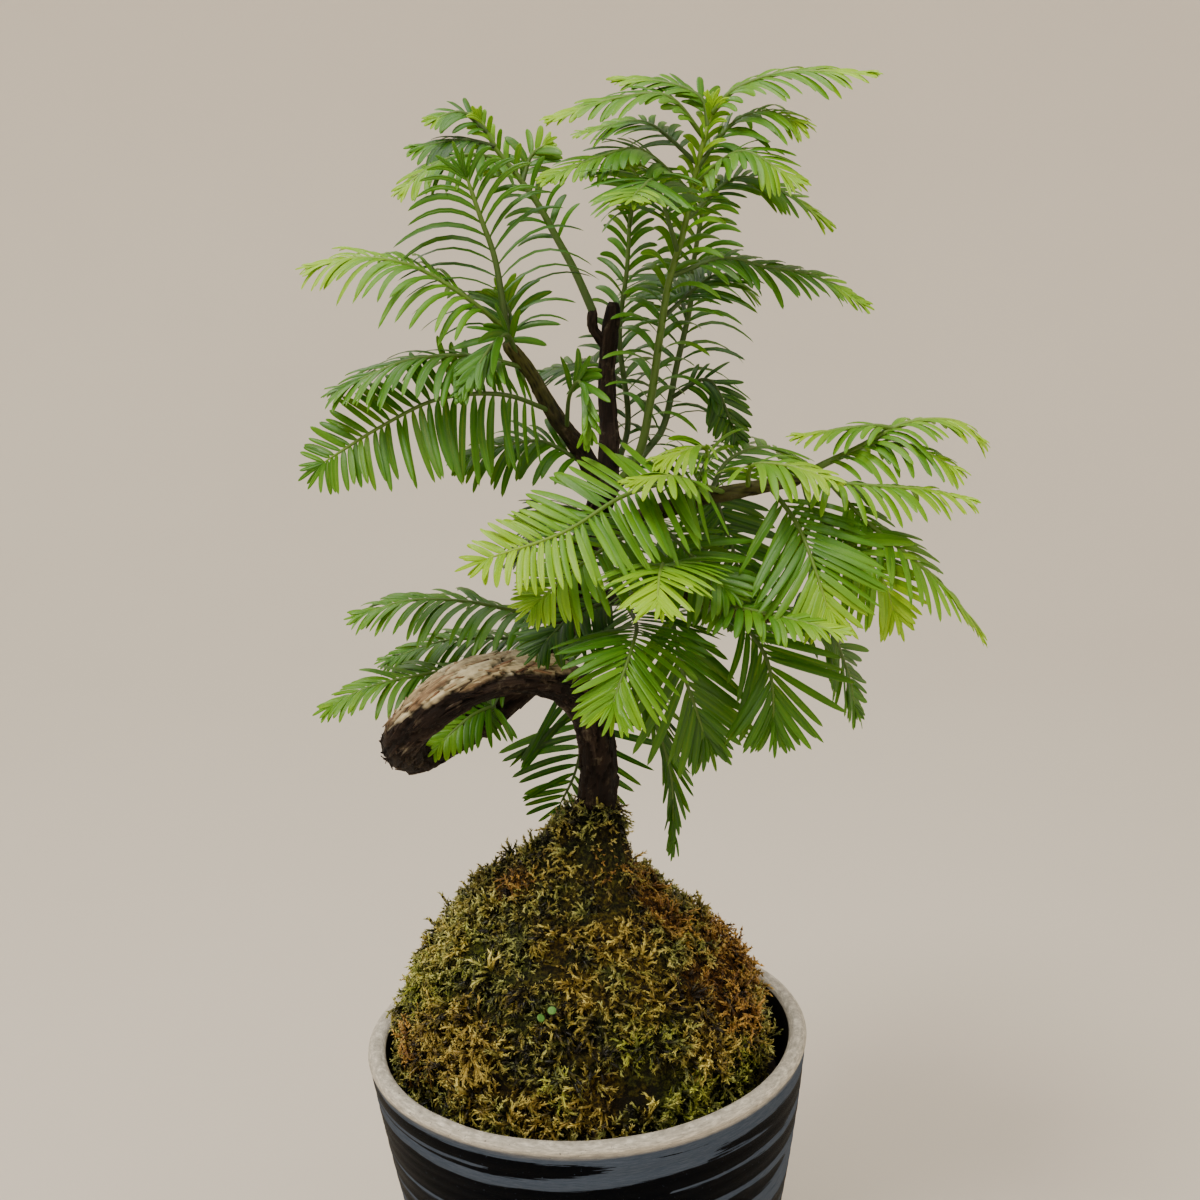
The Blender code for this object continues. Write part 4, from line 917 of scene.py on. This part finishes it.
def add_limb(piece, path, sides, rng, worn=None, scale=1.0, green=0.0):
    """A woody limb under long plates of bark with cracks between and lifted edges."""
    wide, high = frames(path)
    run = distances(path)
    rings = len(path)
    angle = np.tile(circle(sides), rings)
    s = np.repeat(run, sides)
    radius = float(path[:, 3].mean())
    flat = place_at(radius, angle, s)
    bend = noises_at(flat, (1, 3.0), (0.5, 1.1))
    slide = noise_at(flat + 31.0, 3.4) + 0.5 * noise_at(flat + 17.0, 1.2)
    along, across = PLATE_WARP
    inside, index, ahead, count = bark_cells(
        s + along * scale * slide, angle + across * scale * bend / radius, radius,
        PLATE_LENGTH * scale, PLATE_WIDTH * scale, rng)
    lifts = rng.uniform(0.0, 1.0, count)[index]
    tilts = rng.choice([-1.0, 1.0], count)[index] * rng.uniform(0.3, 1.0, count)[index]
    plate = smoothstep(0.0, 0.16, inside)
    along, across = FINE_WARP
    fine = bark_cells(s + along * scale * bend, angle + across * scale * slide / radius, radius,
                      0.42 * PLATE_LENGTH * scale, 0.5 * PLATE_WIDTH * scale, rng)
    flakes = smoothstep(0.0, 0.2, fine[0])
    fibres = noise_at(flat * (1, 1, 0.2), 0.5)
    rise = (-CRACK_DEPTH * (1 - plate) + plate * (PLATE_LIFT * lifts + PLATE_TILT * tilts * ahead)
            - FLAKE_DEPTH * (1 - flakes) + FIBRE * fibres + LIMB_LUMPS * noise_at(flat, 7.0))
    cos, sin = np.cos(angle)[:, None], np.sin(angle)[:, None]
    out = cos * np.repeat(wide, sides, axis=0) + sin * np.repeat(high, sides, axis=0)
    own = np.repeat(path[:, 3], sides)
    ends = smoothstep(0.0, 1.0, np.minimum(s, run[-1] - s))
    size = own + np.clip(rise * scale, -0.4 * own, None) * ends - 0.25 * own * (1 - ends)
    points = np.repeat(path[:, :3], sides, axis=0) + size[:, None] * out
    # How far the painted shade in the cracks and between the small flakes reaches.
    crack = np.clip(1.1 * (1 - plate) + 0.5 * (1 - flakes), 0, 1)
    piece.flat.append(flat)
    piece.add(points, ring_faces(rings, sides), 0, crack=crack, tone=lifts,
              worn=worn(points, out) if worn else 0.0, green=green * smoothstep(0.25, 0.9, s / run[-1]))


def arch_wear(points, out):
    """How far the weather has paled the bark: most on top of the trunk's arch."""
    arch = 1.0
    for axis, none, full in ARCH_FADES:
        arch = arch * smoothstep(none, full, points[:, axis])
    return arch * smoothstep(0.08, 0.32, out[:, 2] + noises_at(points, (0.22, 4.0), (0.12, 1.2)))


def add_flakes(piece, path, count, rng):
    """Curled flakes of bark: one end of each is sunk in the limb, and the other stands off it."""
    wide, high = frames(path)
    run = distances(path)
    at = rng.uniform(FLAKES_FROM * run[-1], 0.97 * run[-1], count)
    angle = rng.uniform(0, 2 * math.pi, count)
    row = np.searchsorted(run, at)
    middle, radius = path[row, :3], path[row, 3]
    out = np.cos(angle)[:, None] * wide[row] + np.sin(angle)[:, None] * high[row]
    ahead = directions_at(path, at) * rng.choice([-1.0, 1.0], count)[:, None]
    across = unit(np.cross(out, ahead))
    ahead, across = turned(ahead, across, rng.normal(0, 0.18, count)[:, None])
    t, share = np.array(FLAKE_SHAPE).T
    half = rng.uniform(0.14, 0.42, count)[:, None] * share
    proud = rng.uniform(0.12, 0.5, count) * (0.4 + 0.6 * arch_wear(middle + radius[:, None] * out, out))
    rise = radius[:, None] - FLAKE_SINK + proud[:, None] * t ** 1.4
    length = rng.uniform(1.5, 5.5, count)
    line = middle[:, None] + rise[..., None] * out[:, None]
    line = line + (length[:, None] * t)[..., None] * ahead[:, None]
    over, lift = np.array(FLAKE_SECTION).T
    points = (line[:, :, None] + (half[..., None] * over)[..., None] * across[:, None, None]
              + (lift - 0.25 * half[..., None] * np.abs(over))[..., None] * out[:, None, None]).reshape(-1, 3)
    size = len(t) * len(over)
    run_at = np.repeat(at, size) + np.tile(np.repeat(t, len(over)), count)
    place = place_at(np.repeat(radius, size), np.repeat(angle, size), run_at)
    piece.flat.append(place + np.repeat(rng.uniform(-9, 9, (count, 1)), size, axis=0))
    piece.add(points, copied(ring_faces(len(t), len(over)), count, size), 0,
              tone=np.repeat(rng.uniform(0.2, 1.0, count), size),
              worn=arch_wear(points, np.repeat(out, size, axis=0)),
              flake=np.repeat(rng.uniform(0.3, 1.0, count), size))


def build_wood(paths, look):
    rng = np.random.default_rng([SEED, 100])
    piece = Piece("crack", "tone", "worn", "green", "flake")
    add_limb(piece, paths["trunk"], BARK_SIDES, rng, arch_wear)
    for name in TWIGS:
        green = 0.0 if name.startswith("stub") else 0.9
        add_limb(piece, paths[name][::2], TWIG_BARK_SIDES, rng, None, 0.5, green)
    add_flakes(piece, paths["trunk"], FLAKES, rng)
    piece.build("bark", [look], "bark", "trunk")


def mound_radius(height):
    return np.interp(height, *zip(*MOUND, COLLAR))


def mound_shift(height):
    return np.interp(height, *zip(*LEANS, (COLLAR[0], TRUNK[0][0])))


def mound_point(height, angle, grow):
    """Points on the mound, moved out by grow."""
    return place_at(mound_radius(height) + grow, angle, height, mound_shift(height))


def hollows_at(points):
    """How deep the moss is sunk at each point."""
    deep = np.zeros(len(points))
    for x, y, z, reach in HOLLOWS:
        away = np.linalg.norm(points - (x, y, z), axis=1)
        deep = np.maximum(deep, smoothstep(1.3 * reach, 0.3 * reach, away))
    return deep


def lumps_at(points):
    """How far the moss bulges at each point, less towards the mound's foot and top."""
    foot = np.clip(0.25 + (points[:, 2] - MOUND[0][0]) / 8.0, 0.0, 1.0)
    top = np.clip((MOUND[-1][0] - points[:, 2]) / 8.0, 0.0, 1.0)
    lump = noises_at(points, (1, LUMP_SIZE), (0.5, LUMP_SIZE / 2.3))
    return LUMP_HEIGHT * foot * top * lump - HOLLOW_DEPTH * hollows_at(points) * foot


def patch_value(points, kind):
    """How strong one of the patches' kinds is at each point of the moss."""
    level = np.full(len(points), -1.0)
    for x, y, z, reach in PATCHES[kind]:
        level = np.maximum(level, 1.0 - np.linalg.norm(points - (x, y, z), axis=1) / reach)
    ragged = noises_at(points, (0.55, 4.5), (0.3, 1.6))
    return PATCH_STRENGTH * smoothstep(-0.25, 0.45, level + ragged)


def patch_values(points):
    """How rusty, golden and fresh the moss is at each point."""
    return {kind: patch_value(points, kind) for kind in ("rust", "gold", "fresh")}


def build_moss_bed(look):
    """The moss's lumpy bed, closed where it lies on the root ball."""
    profile = [height for height, _ in (*MOUND, COLLAR)]
    heights = np.interp(np.linspace(0, 1, BED_ROWS), np.linspace(0, 1, len(profile)), profile)
    height = np.repeat(heights, BED_STEPS)
    angle = np.tile(circle(BED_STEPS), BED_ROWS)
    base = mound_point(height, angle, 0.0)
    grow = lumps_at(base) + noises_at(base, (0.55, 1.9), (0.45, 1.0))
    outer = mound_point(height, angle, grow - BED_SINK * smoothstep(COLLAR[0], MOUND[-1][0], height))
    under = [height for height, _ in reversed(MOUND) if height <= SOIL_TOP]
    rows = BED_ROWS + len(under)
    inner = mound_point(np.repeat(under, BED_STEPS), np.tile(circle(BED_STEPS), len(under)),
                        0.5 - MOSS_THICKNESS)
    points = np.vstack([outer, inner])
    quads, _, (last,) = ring_faces(rows, BED_STEPS)
    first = np.arange(BED_STEPS)
    close = np.stack([last, np.roll(last, -1), np.roll(first, -1), first], -1)
    bed = Piece("rust", "gold", "fresh", "deep")
    # deep is how far each hollow sinks the moss; the bed's material darkens with it as painted shade.
    bed.add(points, [quads, close], deep=np.concatenate([hollows_at(base), np.zeros(len(inner))]),
            **patch_values(points))
    bed.build("moss_bed", [look], "moss", "moss")


def build_sprigs(look):
    """Small leafy sprigs that stand in tufts all over the moss, in a piece for each quarter."""
    rng = np.random.default_rng([SEED, 200])
    kinds = [sprig(rng) for _ in range(SPRIG_KINDS)]
    base, root, axes, tone = sprig_places(rng)
    levels = {"tone": tone, **patch_values(base)}
    kind = rng.integers(0, SPRIG_KINDS, len(root))
    quarter = 2 * (base[:, 0] > 0) + (base[:, 1] > 0)
    for corner in range(4):
        piece = Piece("along", "tone", "rust", "gold", "fresh")
        for number, (points, faces, along) in enumerate(kinds):
            those = np.flatnonzero((kind == number) & (quarter == corner))
            placed = root[those, None] + np.einsum("vk,nkj->nvj", points, axes[those])
            values = {key: np.repeat(level[those], len(points)) for key, level in levels.items()}
            piece.add(placed.reshape(-1, 3), copied([faces], len(those), len(points)),
                      along=np.tile(along, len(those)) - 0.1, **values)
        piece.build(f"moss_sprigs_{corner}", [look], "moss", "moss")


def tuft_places(rng):
    """Strewn places on the mound, closer round the trunk, and the ways across, uphill and outward there."""
    steps = np.linspace(MOUND[0][0] + 1.0, COLLAR[0], 400)
    radius = mound_radius(steps) + 1.0
    slope = np.gradient(radius, steps)
    area = np.cumsum(radius * np.hypot(1.0, slope) * (1 + 0.9 * smoothstep(100, 116, steps)))
    golden = math.pi * (3 - math.sqrt(5))
    share = (np.arange(TUFTS) + rng.uniform(-0.5, 1.5, TUFTS)) / TUFTS
    height = np.interp(np.clip(share, 0, 1) * area[-1], area, steps)
    angle = golden * np.arange(TUFTS) + rng.normal(0, 0.03, TUFTS)
    normal = unit(place_at(1.0, angle, -np.interp(height, steps, slope)))
    across = np.column_stack([-np.sin(angle), np.cos(angle), np.zeros(TUFTS)])
    return mound_point(height, angle, 0.0), across, np.cross(normal, across), normal


def sprig_places(rng):
    """For each sprig: its place on the mound, its foot, its three directions times its size, and its tone."""
    middle, across, uphill, normal = tuft_places(rng)
    proud = rng.uniform(-0.5, 0.5, TUFTS) + 0.9 * (rng.uniform(0, 1, TUFTS) > 0.86)
    own = np.repeat(np.arange(TUFTS), TUFT_SPRIGS)
    spin = rng.uniform(0, 2 * math.pi, len(own))
    reach = np.sqrt(rng.uniform(0.0, 1.0, len(own)))
    lean = np.cos(spin)[:, None] * across[own] + np.sin(spin)[:, None] * uphill[own]
    base = middle[own] + (TUFT_REACH * reach)[:, None] * lean
    lean = lean - (0.25 + 0.35 * rng.uniform(0, 1, len(own)))[:, None] * uphill[own]
    keep = hollows_at(base) < rng.uniform(0.04, 0.4, len(base))
    own, reach, lean, base = own[keep], reach[keep], lean[keep], base[keep]
    count = len(own)
    room = np.clip((mound_radius(base[:, 2]) - 4.2) / 4.0, 0.25, 1.0)
    sink = lumps_at(base) + room * (proud[own] - SPRIG_SINK - TUFT_DOME * reach ** 2)
    axis = unit(normal[own] * (1.2 - 0.7 * reach)[:, None] + (0.3 + 0.75 * reach)[:, None] * lean
                + rng.normal(0, 0.18, (count, 3)) + 0.12 * UP)
    side = unit(np.cross(axis, lean + 0.01))
    size = rng.uniform(0.7, 1.2, count) * rng.uniform(0.8, 1.2, TUFTS)[own]
    edge = smoothstep(MOUND[0][0] - 1, MOUND[0][0] + 6, base[:, 2])
    collar = smoothstep(108, 118, base[:, 2])
    size = size * (0.6 + 0.4 * edge) * (1 - 0.2 * collar)
    tone = rng.uniform(-0.22, 0.22, count) + rng.uniform(-0.4, 0.4, TUFTS)[own] + 0.3 * noise_at(base, 3.0)
    # Painted shade: the dark patches, which lie round the hollows, lower the tone.
    tone = tone - 0.45 * patch_value(base, "dark") - 0.08 * collar
    # Painted light and shade: sprigs in a tuft's raised middle are lighter, those at its edge and in the
    # hollows darker.
    tone = tone + 0.06 + 0.35 * (0.6 - reach) - 0.9 * hollows_at(base)
    axes = np.stack([np.cross(side, axis), side, axis], 1) * size[:, None, None]
    return base, base + normal[own] * sink[:, None], axes, tone


def sprig(rng):
    """One feathery sprig along +Z that curls over towards +X: points, triangles, how light each point is."""
    rings, sides = len(SPRIG_SHAPE), 3
    t = np.linspace(0, 1, rings + 1)
    bend = math.radians(rng.uniform(25, 130)) * t ** 1.4
    step = SPRIG_LENGTH / rings
    reach, rise = (np.concatenate([[0.0], np.cumsum(part(bend[1:]) * step)]) for part in (np.sin, np.cos))
    line = np.column_stack([reach, rng.uniform(-0.7, 0.7) * t ** 2, rise])
    forward = np.column_stack([np.sin(bend), 0 * t, np.cos(bend)])
    wide = np.column_stack([np.cos(bend), 0 * t, -np.sin(bend)])
    radius = SPRIG_RADIUS * np.array(SPRIG_SHAPE)
    angle = circle(sides)[None, :, None]
    around = np.cos(angle) * wide[:rings, None] + np.sin(angle) * SIDEWAYS
    points = [*(line[:rings, None] + radius[:, None, None] * around).reshape(-1, 3), line[rings]]
    quads, foot, (last,) = ring_faces(rings, sides)
    faces = [*quads[:, [0, 1, 2]], *quads[:, [0, 2, 3]], *foot]
    faces += [(last[k], last[k - sides + 1], last[-1] + 1) for k in range(sides)]
    along = [*np.repeat(0.75 * t[:rings] - 0.05, sides), 1.0]
    for k in range(LEAFLETS):
        at = 0.12 + 0.84 * k / LEAFLETS
        turn = 2.4 * k + rng.uniform(-0.5, 0.5)
        root, tangent, across = (np.array([np.interp(at, t, column) for column in part.T])
                                 for part in (line, forward, wide))
        out = unit(math.cos(turn) * across + math.sin(turn) * SIDEWAYS)
        aim = unit(tangent + rng.uniform(0.4, 1.0) * out)
        side = unit(np.cross(aim, out))
        length = rng.uniform(0.8, 1.15) * (1.15 - 0.35 * at)
        foot_at = root + 0.4 * SPRIG_RADIUS * out
        first = len(points)
        points += [foot_at - SPRIG_RADIUS * side, foot_at + SPRIG_RADIUS * side,
                   foot_at + 0.3 * tangent + 0.06 * out, foot_at + length * aim]
        faces += [tuple(first + k for k in corners) for corners in LEAFLET_FACES]
        along += [0.6 * at - 0.05, 0.6 * at - 0.05, 0.6 * at, min(at + 0.35, 1.15)]
    return np.array(points), np.array(faces), np.array(along)


def build_soil(look):
    """The root ball, crumbly where it shows between the moss and the pot."""
    floor = FLOOR + 0.3
    wall = pot_radius(FLOOR) - WALL - 0.3
    profile = [(wall - FLOOR_ROUND, floor), (wall, floor + FLOOR_ROUND)]
    profile += [(pot_radius(height) - WALL - SOIL_GAP, height) for height in (20, 40, 55, 64, SOIL_SHOULDER)]
    rows = [(radius - MOSS_THICKNESS, height) for height, radius in MOUND if height <= SOIL_TOP]
    shoulder = profile[-1][0]
    profile += [(shoulder + (rows[0][0] - shoulder) * k / 6, SOIL_SHOULDER) for k in range(1, 6)] + rows
    radius, angle, height = lathe(profile, SOIL_STEPS)
    points = place_at(radius, angle, height, mound_shift(height))
    crumb = noises_at(points, (0.5, 1.4), (0.35, 0.6)) - 0.3
    points[:, 2] += np.where((height >= SOIL_SHOULDER - 0.1) & (height < MOUND[1][0]), crumb, 0.0)
    piece = Piece()
    piece.add(points, ring_faces(len(profile), SOIL_STEPS))
    piece.build("soil_ball", [look], "soil", "soil")


def pot_radius(height):
    depth = POT_HEIGHT - height
    return RIM_RADIUS - TAPER * depth - TAPER_CURVE * depth * depth


def rounded(radius, height, width, rise, turns):
    """A quarter or half round of a profile, inwards from its outer point as it turns."""
    turns = [math.radians(degrees) for degrees in turns]
    return [(radius - width * (1 - math.cos(turn)), height + rise * (1 - math.sin(turn))) for turn in turns]


def brush_strokes():
    """The table's strokes, then seeded ones down to the foot."""
    rng = np.random.default_rng([SEED, 300])
    strokes = list(UPPER_STROKES)
    height = HIGHEST_STROKE
    while height > LOWEST_STROKE:
        start = rng.uniform(-180, 180)
        strokes.append((height, rng.uniform(1.9, 2.35), start, start + rng.uniform(250, 330), 1))
        if rng.uniform() < 0.8:
            start = rng.uniform(-180, 180)
            strokes.append((height + rng.uniform(-1.3, 1.3), 0.45, start, start + rng.uniform(40, 110), -1))
        height -= STROKE_GAP * rng.uniform(0.92, 1.08)
    return strokes


def inked(angle, height):
    """How far inside a dark stroke each place on the pot's side is, and how dry the brush was there."""
    ink = np.full(len(angle), -INK_REACH)
    dry = np.full(len(angle), WET)
    for number, (middle, half, first, last, sign) in enumerate(brush_strokes()):
        wave = 0.35 * np.sin(np.radians(angle * 2 + 57 * number))
        wave = wave + 0.2 * np.sin(np.radians(angle * 5 + 91 * number))
        for turn in (-360, 0, 360):
            place = (angle + turn - first) / (last - first)
            arc = np.minimum(place, 1 - place) * (last - first)
            depth = half * np.sqrt(np.clip(arc / TAPER_ARC, 0.0, 1.0)) - np.abs(height - middle - wave)
            depth = np.where((place > 0) & (place < 1), depth, -INK_REACH)
            if sign > 0:
                dry = np.where(depth > ink, WET + 1.6 * (1 - np.clip(arc / DRY_ARC, 0.0, 1.0)), dry)
                ink = np.maximum(ink, depth)
            else:
                ink = np.minimum(ink, np.where(depth > 0, -depth * 2.0, INK_REACH))
    return 0.5 + 0.5 * np.clip(ink, -INK_REACH, INK_REACH) / INK_REACH, 0.5 * dry


def build_pot(look):
    """The pot: turned clay with a round lip, a flat floor and drain holes."""
    foot = pot_radius(FOOT_ROUND)
    outer = [(foot - FOOT_ROUND, 0.0), (foot - 0.6 * FOOT_ROUND, 0.1 * FOOT_ROUND),
             (foot - 0.2 * FOOT_ROUND, 0.45 * FOOT_ROUND), (foot, FOOT_ROUND)]
    rows = np.arange(FOOT_ROUND + ROW_STEP, POT_HEIGHT - EDGE_ROUND - 0.2, ROW_STEP)
    outer += [(pot_radius(height), height) for height in rows]
    outer += rounded(RIM_RADIUS, POT_HEIGHT, WALL / 2, -EDGE_ROUND, range(0, 181, 15))
    outer += [(pot_radius(height) - WALL, height) for height in np.arange(74, FLOOR + FLOOR_ROUND, -5)]
    outer += rounded(pot_radius(FLOOR) - WALL, FLOOR, FLOOR_ROUND, FLOOR_ROUND, (0, 30, 60, 90))
    radius, angle, height = lathe(outer, POT_STEPS)
    ring = place_at(RIM_RADIUS, angle, height)
    side = smoothstep(2.0, 4.0, height) * (np.abs(radius - pot_radius(height)) < 0.01)
    marks = THROWN * np.sin(height * 2.1 + 1.6 * np.sin(height * 0.37))
    marks = marks + 0.6 * THROWN * noise_at(ring * (0.1, 0.1, 1), 1.1)
    radius = radius + side * marks + WOBBLE * noise_at(ring, 40.0) * smoothstep(4, 20, height)
    height = height + np.where(height > POT_HEIGHT - 4, 0.18 * noise_at(ring * (1, 1, 0), 14.0), 0.0)
    piece = Piece()
    piece.add(place_at(radius, angle, height), ring_faces(len(outer), POT_STEPS))
    pot = piece.build("pot_body", [look], "glaze", "pot")
    for k in range(DRAINS):
        turn = math.radians(90 + 360 / DRAINS * k)
        drill(pot, (DRAIN_CIRCLE * math.cos(turn) * MM, DRAIN_CIRCLE * math.sin(turn) * MM, 0.0))
    paint_pot(pot.data)


def drill(pot, place):
    """Cuts one drain hole through the pot's floor."""
    bpy.ops.mesh.primitive_cylinder_add(vertices=40, radius=DRAIN_RADIUS * MM, depth=4 * FLOOR * MM)
    cutter = bpy.context.object
    cutter.location = place
    step = pot.modifiers.new("drain", "BOOLEAN")
    step.operation = "DIFFERENCE"
    step.solver = "EXACT"
    step.object = cutter
    graph = bpy.context.evaluated_depsgraph_get()
    graph.update()
    cut = bpy.data.meshes.new_from_object(pot.evaluated_get(graph))
    pot.modifiers.clear()
    pot.data = cut
    bpy.data.objects.remove(cutter, do_unlink=True)


def paint_pot(mesh):
    """Gives each point of the pot how much ink, lip and inside it has."""
    places = np.empty(len(mesh.vertices) * 3)
    mesh.vertices.foreach_get("co", places)
    x, y, z = (places.reshape(-1, 3) / MM).T
    angle = np.degrees(np.arctan2(x, -y))
    ink, dry = inked(angle, z)
    middle = pot_radius(np.minimum(z, POT_HEIGHT)) - WALL / 2
    rim = smoothstep(*LIP_EDGE, z + 0.35 * np.sin(np.radians(angle * 3 + 20)))
    # inside marks the pot's inner wall, which the glaze makes near black as painted shade.
    inside = 1.0 * ((np.hypot(x, y) < middle - 0.6) & (z > 1.0) & (z < INSIDE_TOP))
    set_values(mesh, "ink", np.where(z < 0.3, 0.0, ink * (1 - rim)))
    set_values(mesh, "dry", dry * (1 - rim))
    set_values(mesh, "lip", rim * (1 - inside))
    set_values(mesh, "inside", inside)


def build_seedlings(look):
    """Two round seed leaves that have come up in the moss, each on a stalk."""
    piece = Piece()
    aim = Vector((0.1, -0.75, 0.65)).normalized()
    for number, place in enumerate(SEEDLINGS):
        turn = aim.to_track_quat("Z", "Y").to_matrix() @ Matrix.Rotation(0.5 * number, 3, "Y")
        points = []
        for radius, rise in SEED_LEAF:
            for angle in circle(SEED_SIDES):
                local = Vector((radius * math.cos(angle), radius * math.sin(angle) * 0.9, rise))
                points.append(Vector(place) + turn @ (local * SEEDLING_RADIUS))
        piece.add(np.array(points), ring_faces(len(SEED_LEAF), SEED_SIDES))
        stalk = smooth([tuple(np.array(place) + step) for step in STALK], 0.4)
        piece.add(tube(stalk, STALK_RADIUS, circle(6)), ring_faces(len(stalk), 6))
    piece.build("moss_seedlings", [look], "moss", "moss")


def build_stage(look):
    """A pale floor that curves up into a wall all round, like a studio sweep. Its sizes are in metres."""
    profile = [(0.2, 0.0), (0.4, 0.0), (STAGE_FLAT, 0.0)]
    for degrees in range(10, 91, 10):
        turn = math.radians(degrees)
        profile.append((STAGE_FLAT + STAGE_SWEEP * math.sin(turn), STAGE_SWEEP * (1 - math.cos(turn))))
    profile += [(STAGE_FLAT + STAGE_SWEEP, STAGE_TOP)]
    radius, angle, height = lathe(profile, STAGE_STEPS)
    quads, foot, _ = ring_faces(len(profile), STAGE_STEPS)
    mesh = bpy.data.meshes.new("floor")
    mesh.from_pydata(place_at(radius, angle, height - 0.0001).tolist(), [],
                     [face[::-1].tolist() for face in (*quads, *foot)])
    mesh.materials.append(look)
    mesh.shade_smooth()
    floor = linked("floor", mesh)


def light_scene():
    """Four round lamps and a faint even light from all sides."""
    for name, place, aim, size, power, colour in LAMPS:
        lamp = bpy.data.lights.new(name, "AREA")
        lamp.shape = "DISK"
        lamp.size = size
        lamp.energy = power
        lamp.color = colour
        obj = linked(name, lamp)
        obj.location = place
        obj.rotation_euler = (Vector(aim) - Vector(place)).to_track_quat("-Z", "Y").to_euler()
    world = bpy.data.worlds.new("studio")
    world.use_nodes = True
    background = world.node_tree.nodes["Background"]
    background.inputs["Color"].default_value = (1.0, 0.97, 0.93, 1.0)
    background.inputs["Strength"].default_value = 0.24
    bpy.context.scene.world = world


def place_camera():
    """The photograph's view: a camera a little above the tree that looks down on it, turned slightly."""
    pitch, roll = math.radians(CAMERA_PITCH), math.radians(CAMERA_ROLL)
    ahead = Vector((0, math.cos(pitch), -math.sin(pitch)))
    up = Vector((0, math.sin(pitch), math.cos(pitch)))
    right = Vector((1, 0, 0))
    right, up = math.cos(roll) * right + math.sin(roll) * up, math.cos(roll) * up - math.sin(roll) * right
    data = bpy.data.cameras.new("camera")
    data.sensor_width = 36.0
    data.lens = CAMERA_LENS
    data.clip_start = 0.01
    camera = linked("camera", data)
    facing = Matrix((right, up, -ahead)).transposed()
    camera.matrix_world = Matrix.Translation(Vector(CAMERA_PLACE) * MM) @ facing.to_4x4()
    bpy.context.scene.camera = camera


place_camera()
light_scene()
build_stage(backdrop_material())
tree_paths = shoot_paths()
build_pot(glaze_material())
build_soil(soil_material())
build_moss_bed(moss_bed_material())
build_sprigs(moss_material())
build_seedlings(seedling_material())
build_wood(tree_paths, bark_material())
build_shoots(tree_paths, [needle_material(), stem_material()])
